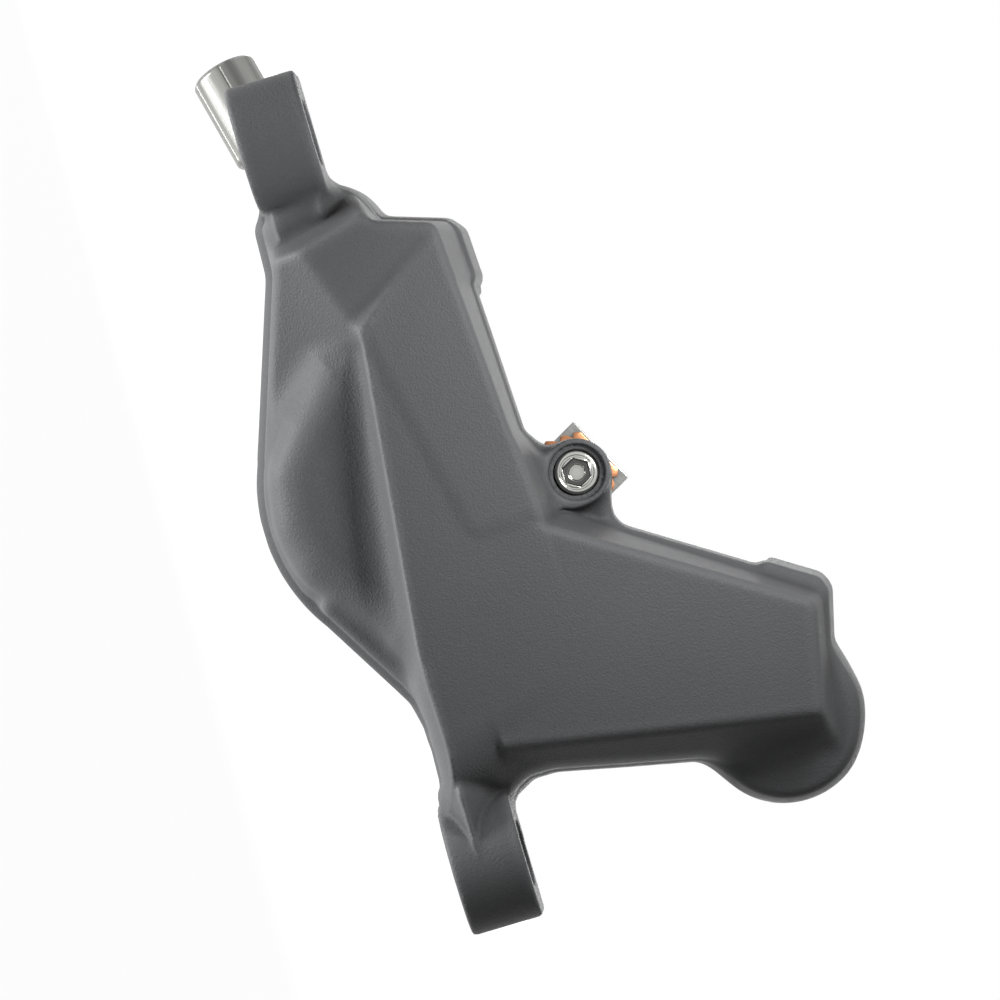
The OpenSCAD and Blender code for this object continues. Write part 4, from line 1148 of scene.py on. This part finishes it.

# %% [markdown]
# Braking pushes the pads together, and the bent sheet between them gives way. A merged copy of the
# sheet stands for the node. Its legs end a tenth of a millimetre sooner than the solid's, which keeps
# the sheet clear of the plates.

# %% Pad spring
def merged_copy(name, source, body, slot):
    """Copy of a node's mesh with its doubles merged, as a piece that stands for the node."""
    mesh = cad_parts[source].data.copy()
    mesh.name = name
    work = bmesh.new()
    work.from_mesh(mesh)
    bmesh.ops.remove_doubles(work, verts=work.verts, dist=0.001 * MM)
    work.to_mesh(mesh)
    work.free()
    mesh.materials.clear()
    made = carry(name, mesh, body, slot, source)
    soften(made, 0.07)
    print(name, len(mesh.vertices), "points")
    return made


def drawn_in(mesh, reach, new_reach):
    """Bring the points that stand a reach from the mid-plane in to a new reach, on both sides."""
    points = np.empty(len(mesh.vertices) * 3)
    mesh.vertices.foreach_get("co", points)
    y = points.reshape(-1, 3)[:, 1]
    ends = np.abs(np.abs(y) - reach * MM) < 0.01 * MM
    y[ends] = np.sign(y[ends]) * new_reach * MM
    mesh.vertices.foreach_set("co", points)
    mesh.update()
    print(mesh.name, int(ends.sum()), "points drawn in")


spring = merged_copy("spring_sheet", "pad_spring", "caliper", "spring")
drawn_in(spring.data, 3.2, 3.1)
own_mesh(spring)

# %% [markdown]
# Each finish is one material. Steel and nickel are metals with a mid grey base, because a studio's
# white walls fill their reflections. Marks follow each piece's own axis.

# %% Metals of the hardware
def paint_socket_shade(material):
    """Painted shade in the hexagon socket: the colour falls to a fifth below the face, between the
    drilled centre and the flats."""
    tree = material.node_tree
    base = tree.nodes["Principled BSDF"].inputs["Base Color"]
    face = (PIN[0], 0.1 - PIN_BOSS_H, PIN[1])
    place = along_axis(tree, node(tree, "TexCoord")["Object"], face, (0, -1, 0))
    radius, height = round_z(tree, place)
    ring = sums(tree, "MULTIPLY", ramp(tree, radius, 0.84, 0.92), ramp(tree, radius, 1.42, 1.5, 1, 0))
    socket_shade_mask = sums(tree, "MULTIPLY", ring, ramp(tree, height, -0.25, -0.8))
    # Painted shade: the colour inside the socket is darkened to a fifth.
    light = sums(tree, "SUBTRACT", 1.0, sums(tree, "MULTIPLY", socket_shade_mask, 0.8))
    tree.links.new(tinted(tree, base.links[0].from_socket, light), base)


NICKEL, STEEL, DARK_STEEL = (0.27, 0.27, 0.26), (0.30, 0.30, 0.29), (0.13, 0.135, 0.14)
SLEEVE_NICKEL, PIN_STEEL, PISTON = (0.24, 0.24, 0.23), (0.46, 0.46, 0.44), (0.50, 0.49, 0.46)
COPPER, BRASS, SPRING = (0.60, 0.32, 0.20), (0.58, 0.44, 0.20), (0.44, 0.20, 0.10)
ORIGIN, PAD_LINE = (0, 0, 0), (PAD_C, 0, PAD_S)
# Material, colour, roughness, marks, base, axis, then contrast, tone and depth of the marks.
for thing, *look in (
        # The sleeve's large tone paints broad streaks of light and dark along it: painted reflection
        # bands.
        (sleeve, "drawn_nickel_painted_bands", SLEEVE_NICKEL, 0.2, DRAWN, HOSE_END, HOSE_AXIS, 0.6, 2.6, 0.004),
        (banjo, "banjo_nickel", NICKEL, 0.26, TURNED, HOSE_END, HOSE_AXIS, 0.3, 0.3),
        (pin, "polished_pin", PIN_STEEL, 0.18, TURNED, (PIN[0], 0, PIN[1]), (0, 1, 0), 0.3, 0.9, 0.004),
        (spring, "copper_spring", SPRING, 0.3, DRAWN, ORIGIN, (0.3, 0, 0.95), 0.5, 0.7, 0.01)):
    thing.data.materials.append(metal(*look))
paint_socket_shade(pin.data.materials[0])
# Nodes, width of their softened edges, and the same.
for names, width, *look in (
        (["outer_pad_plate", "inner_pad_plate"], 0.12,
         "stamped_steel", NICKEL, 0.3, DRAWN, ORIGIN, PAD_LINE, 0.35, 0.6, 0.01),
        (["banjo_bolt"], 0.1, "bolt_nickel", NICKEL, 0.28, TURNED, HOSE_END),
        (["hose_barb"], 0.04, "barb_nickel", NICKEL, 0.3, TURNED, HOSE_END, HOSE_AXIS),
        (["hose_olive"], 0.05, "olive_brass", BRASS, 0.35, TURNED, HOSE_END, HOSE_AXIS),
        (["banjo_washers"], 0.12, "soft_copper", COPPER, 0.42, TURNED, HOSE_END),
        (["bleed_screw"], 0.12, "bleed_steel", STEEL, 0.34, TURNED, centre_of("bleed_screw")),
        (["pin_clip"], 0.05, "clip_steel", DARK_STEEL, 0.3, TURNED, centre_of("pin_clip")),
        (["body_bolts"], 0.15, "bolt_steel", DARK_STEEL, 0.36, DRAWN, ORIGIN, (0, 1, 0), 0.35)):
    dress(names, metal(*look), width)
for name in [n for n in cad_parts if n.endswith("_piston")]:
    dress([name], metal(name + "_metal", PISTON, 0.32, TURNED, centre_of(name)), 0.12)
print("metals made")

# %% [markdown]
# A brake lining is pressed from fibres, graphite and chips of metal. Two scales of noise mottle its
# tone, and the sparse cells of a Voronoi pattern turn into bright specks that are metal, not paint.

# %% Linings
LINING, CHIP, LINING_ROUGHNESS = (0.075, 0.068, 0.060), (0.52, 0.38, 0.22, 1), 0.85
lining, tree, shader, place = finish("pressed_lining", LINING, 0.0, LINING_ROUGHNESS, 0.3)
# The shared grain also brings its painted glints into the lining's colour.
grain = node(tree, "Group", {"Vector": place, "Grain per mm": 3.0, "Contrast": 0.9,
                             "Roughness": LINING_ROUGHNESS}, node_tree=GRAIN)
cells = node(tree, "TexVoronoi", {"Vector": scaled(tree, place), "Scale": 1.3, "Randomness": 1.0})
chance = node(tree, "SeparateColor", {0: cells["Color"]})[0]
speck = sums(tree, "MULTIPLY", ramp(tree, cells["Distance"], 0.18, 0.26, 1.0, 0.0),
             sums(tree, "GREATER_THAN", chance, 0.8))
base = tinted(tree, LINING, grain["Shade"])
feed(tree, shader, {
    "Base Color": node(tree, "Mix", {0: speck, 6: base, 7: CHIP}, data_type="RGBA")[2],
    "Metallic": speck,
    "Roughness": ramp(tree, speck, 0, 1, LINING_ROUGHNESS, 0.35),
    "Normal": bump(tree, grain["Height"], 0.08)})
dress(["outer_lining", "inner_lining"], lining, 0.1)
print("linings dressed")

# %% Rubber
def rubber(name, shade, roughness):
    """Moulded rubber: nearly black, with a faint bloom and sparse painted glints from the grain."""
    colour = (shade, shade, shade * 1.04)
    made, tree, shader, place = finish(name, colour, 0.0, roughness, 0.4)
    grain = node(tree, "Group", {"Vector": place, "Grain per mm": 5.0, "Contrast": 0.4,
                                 "Roughness": roughness}, node_tree=GRAIN)
    lead(tree, shader, colour, grain["Shade"], grain, 0.015)
    return made


seals = [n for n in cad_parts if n.endswith("_seal")]
dress(seals, rubber("seal_rubber", 0.018, 0.5), 0.1)
dress(["bleed_cap"], rubber("cap_rubber", 0.026, 0.62), 0.15)
print("seals dressed:", len(seals))
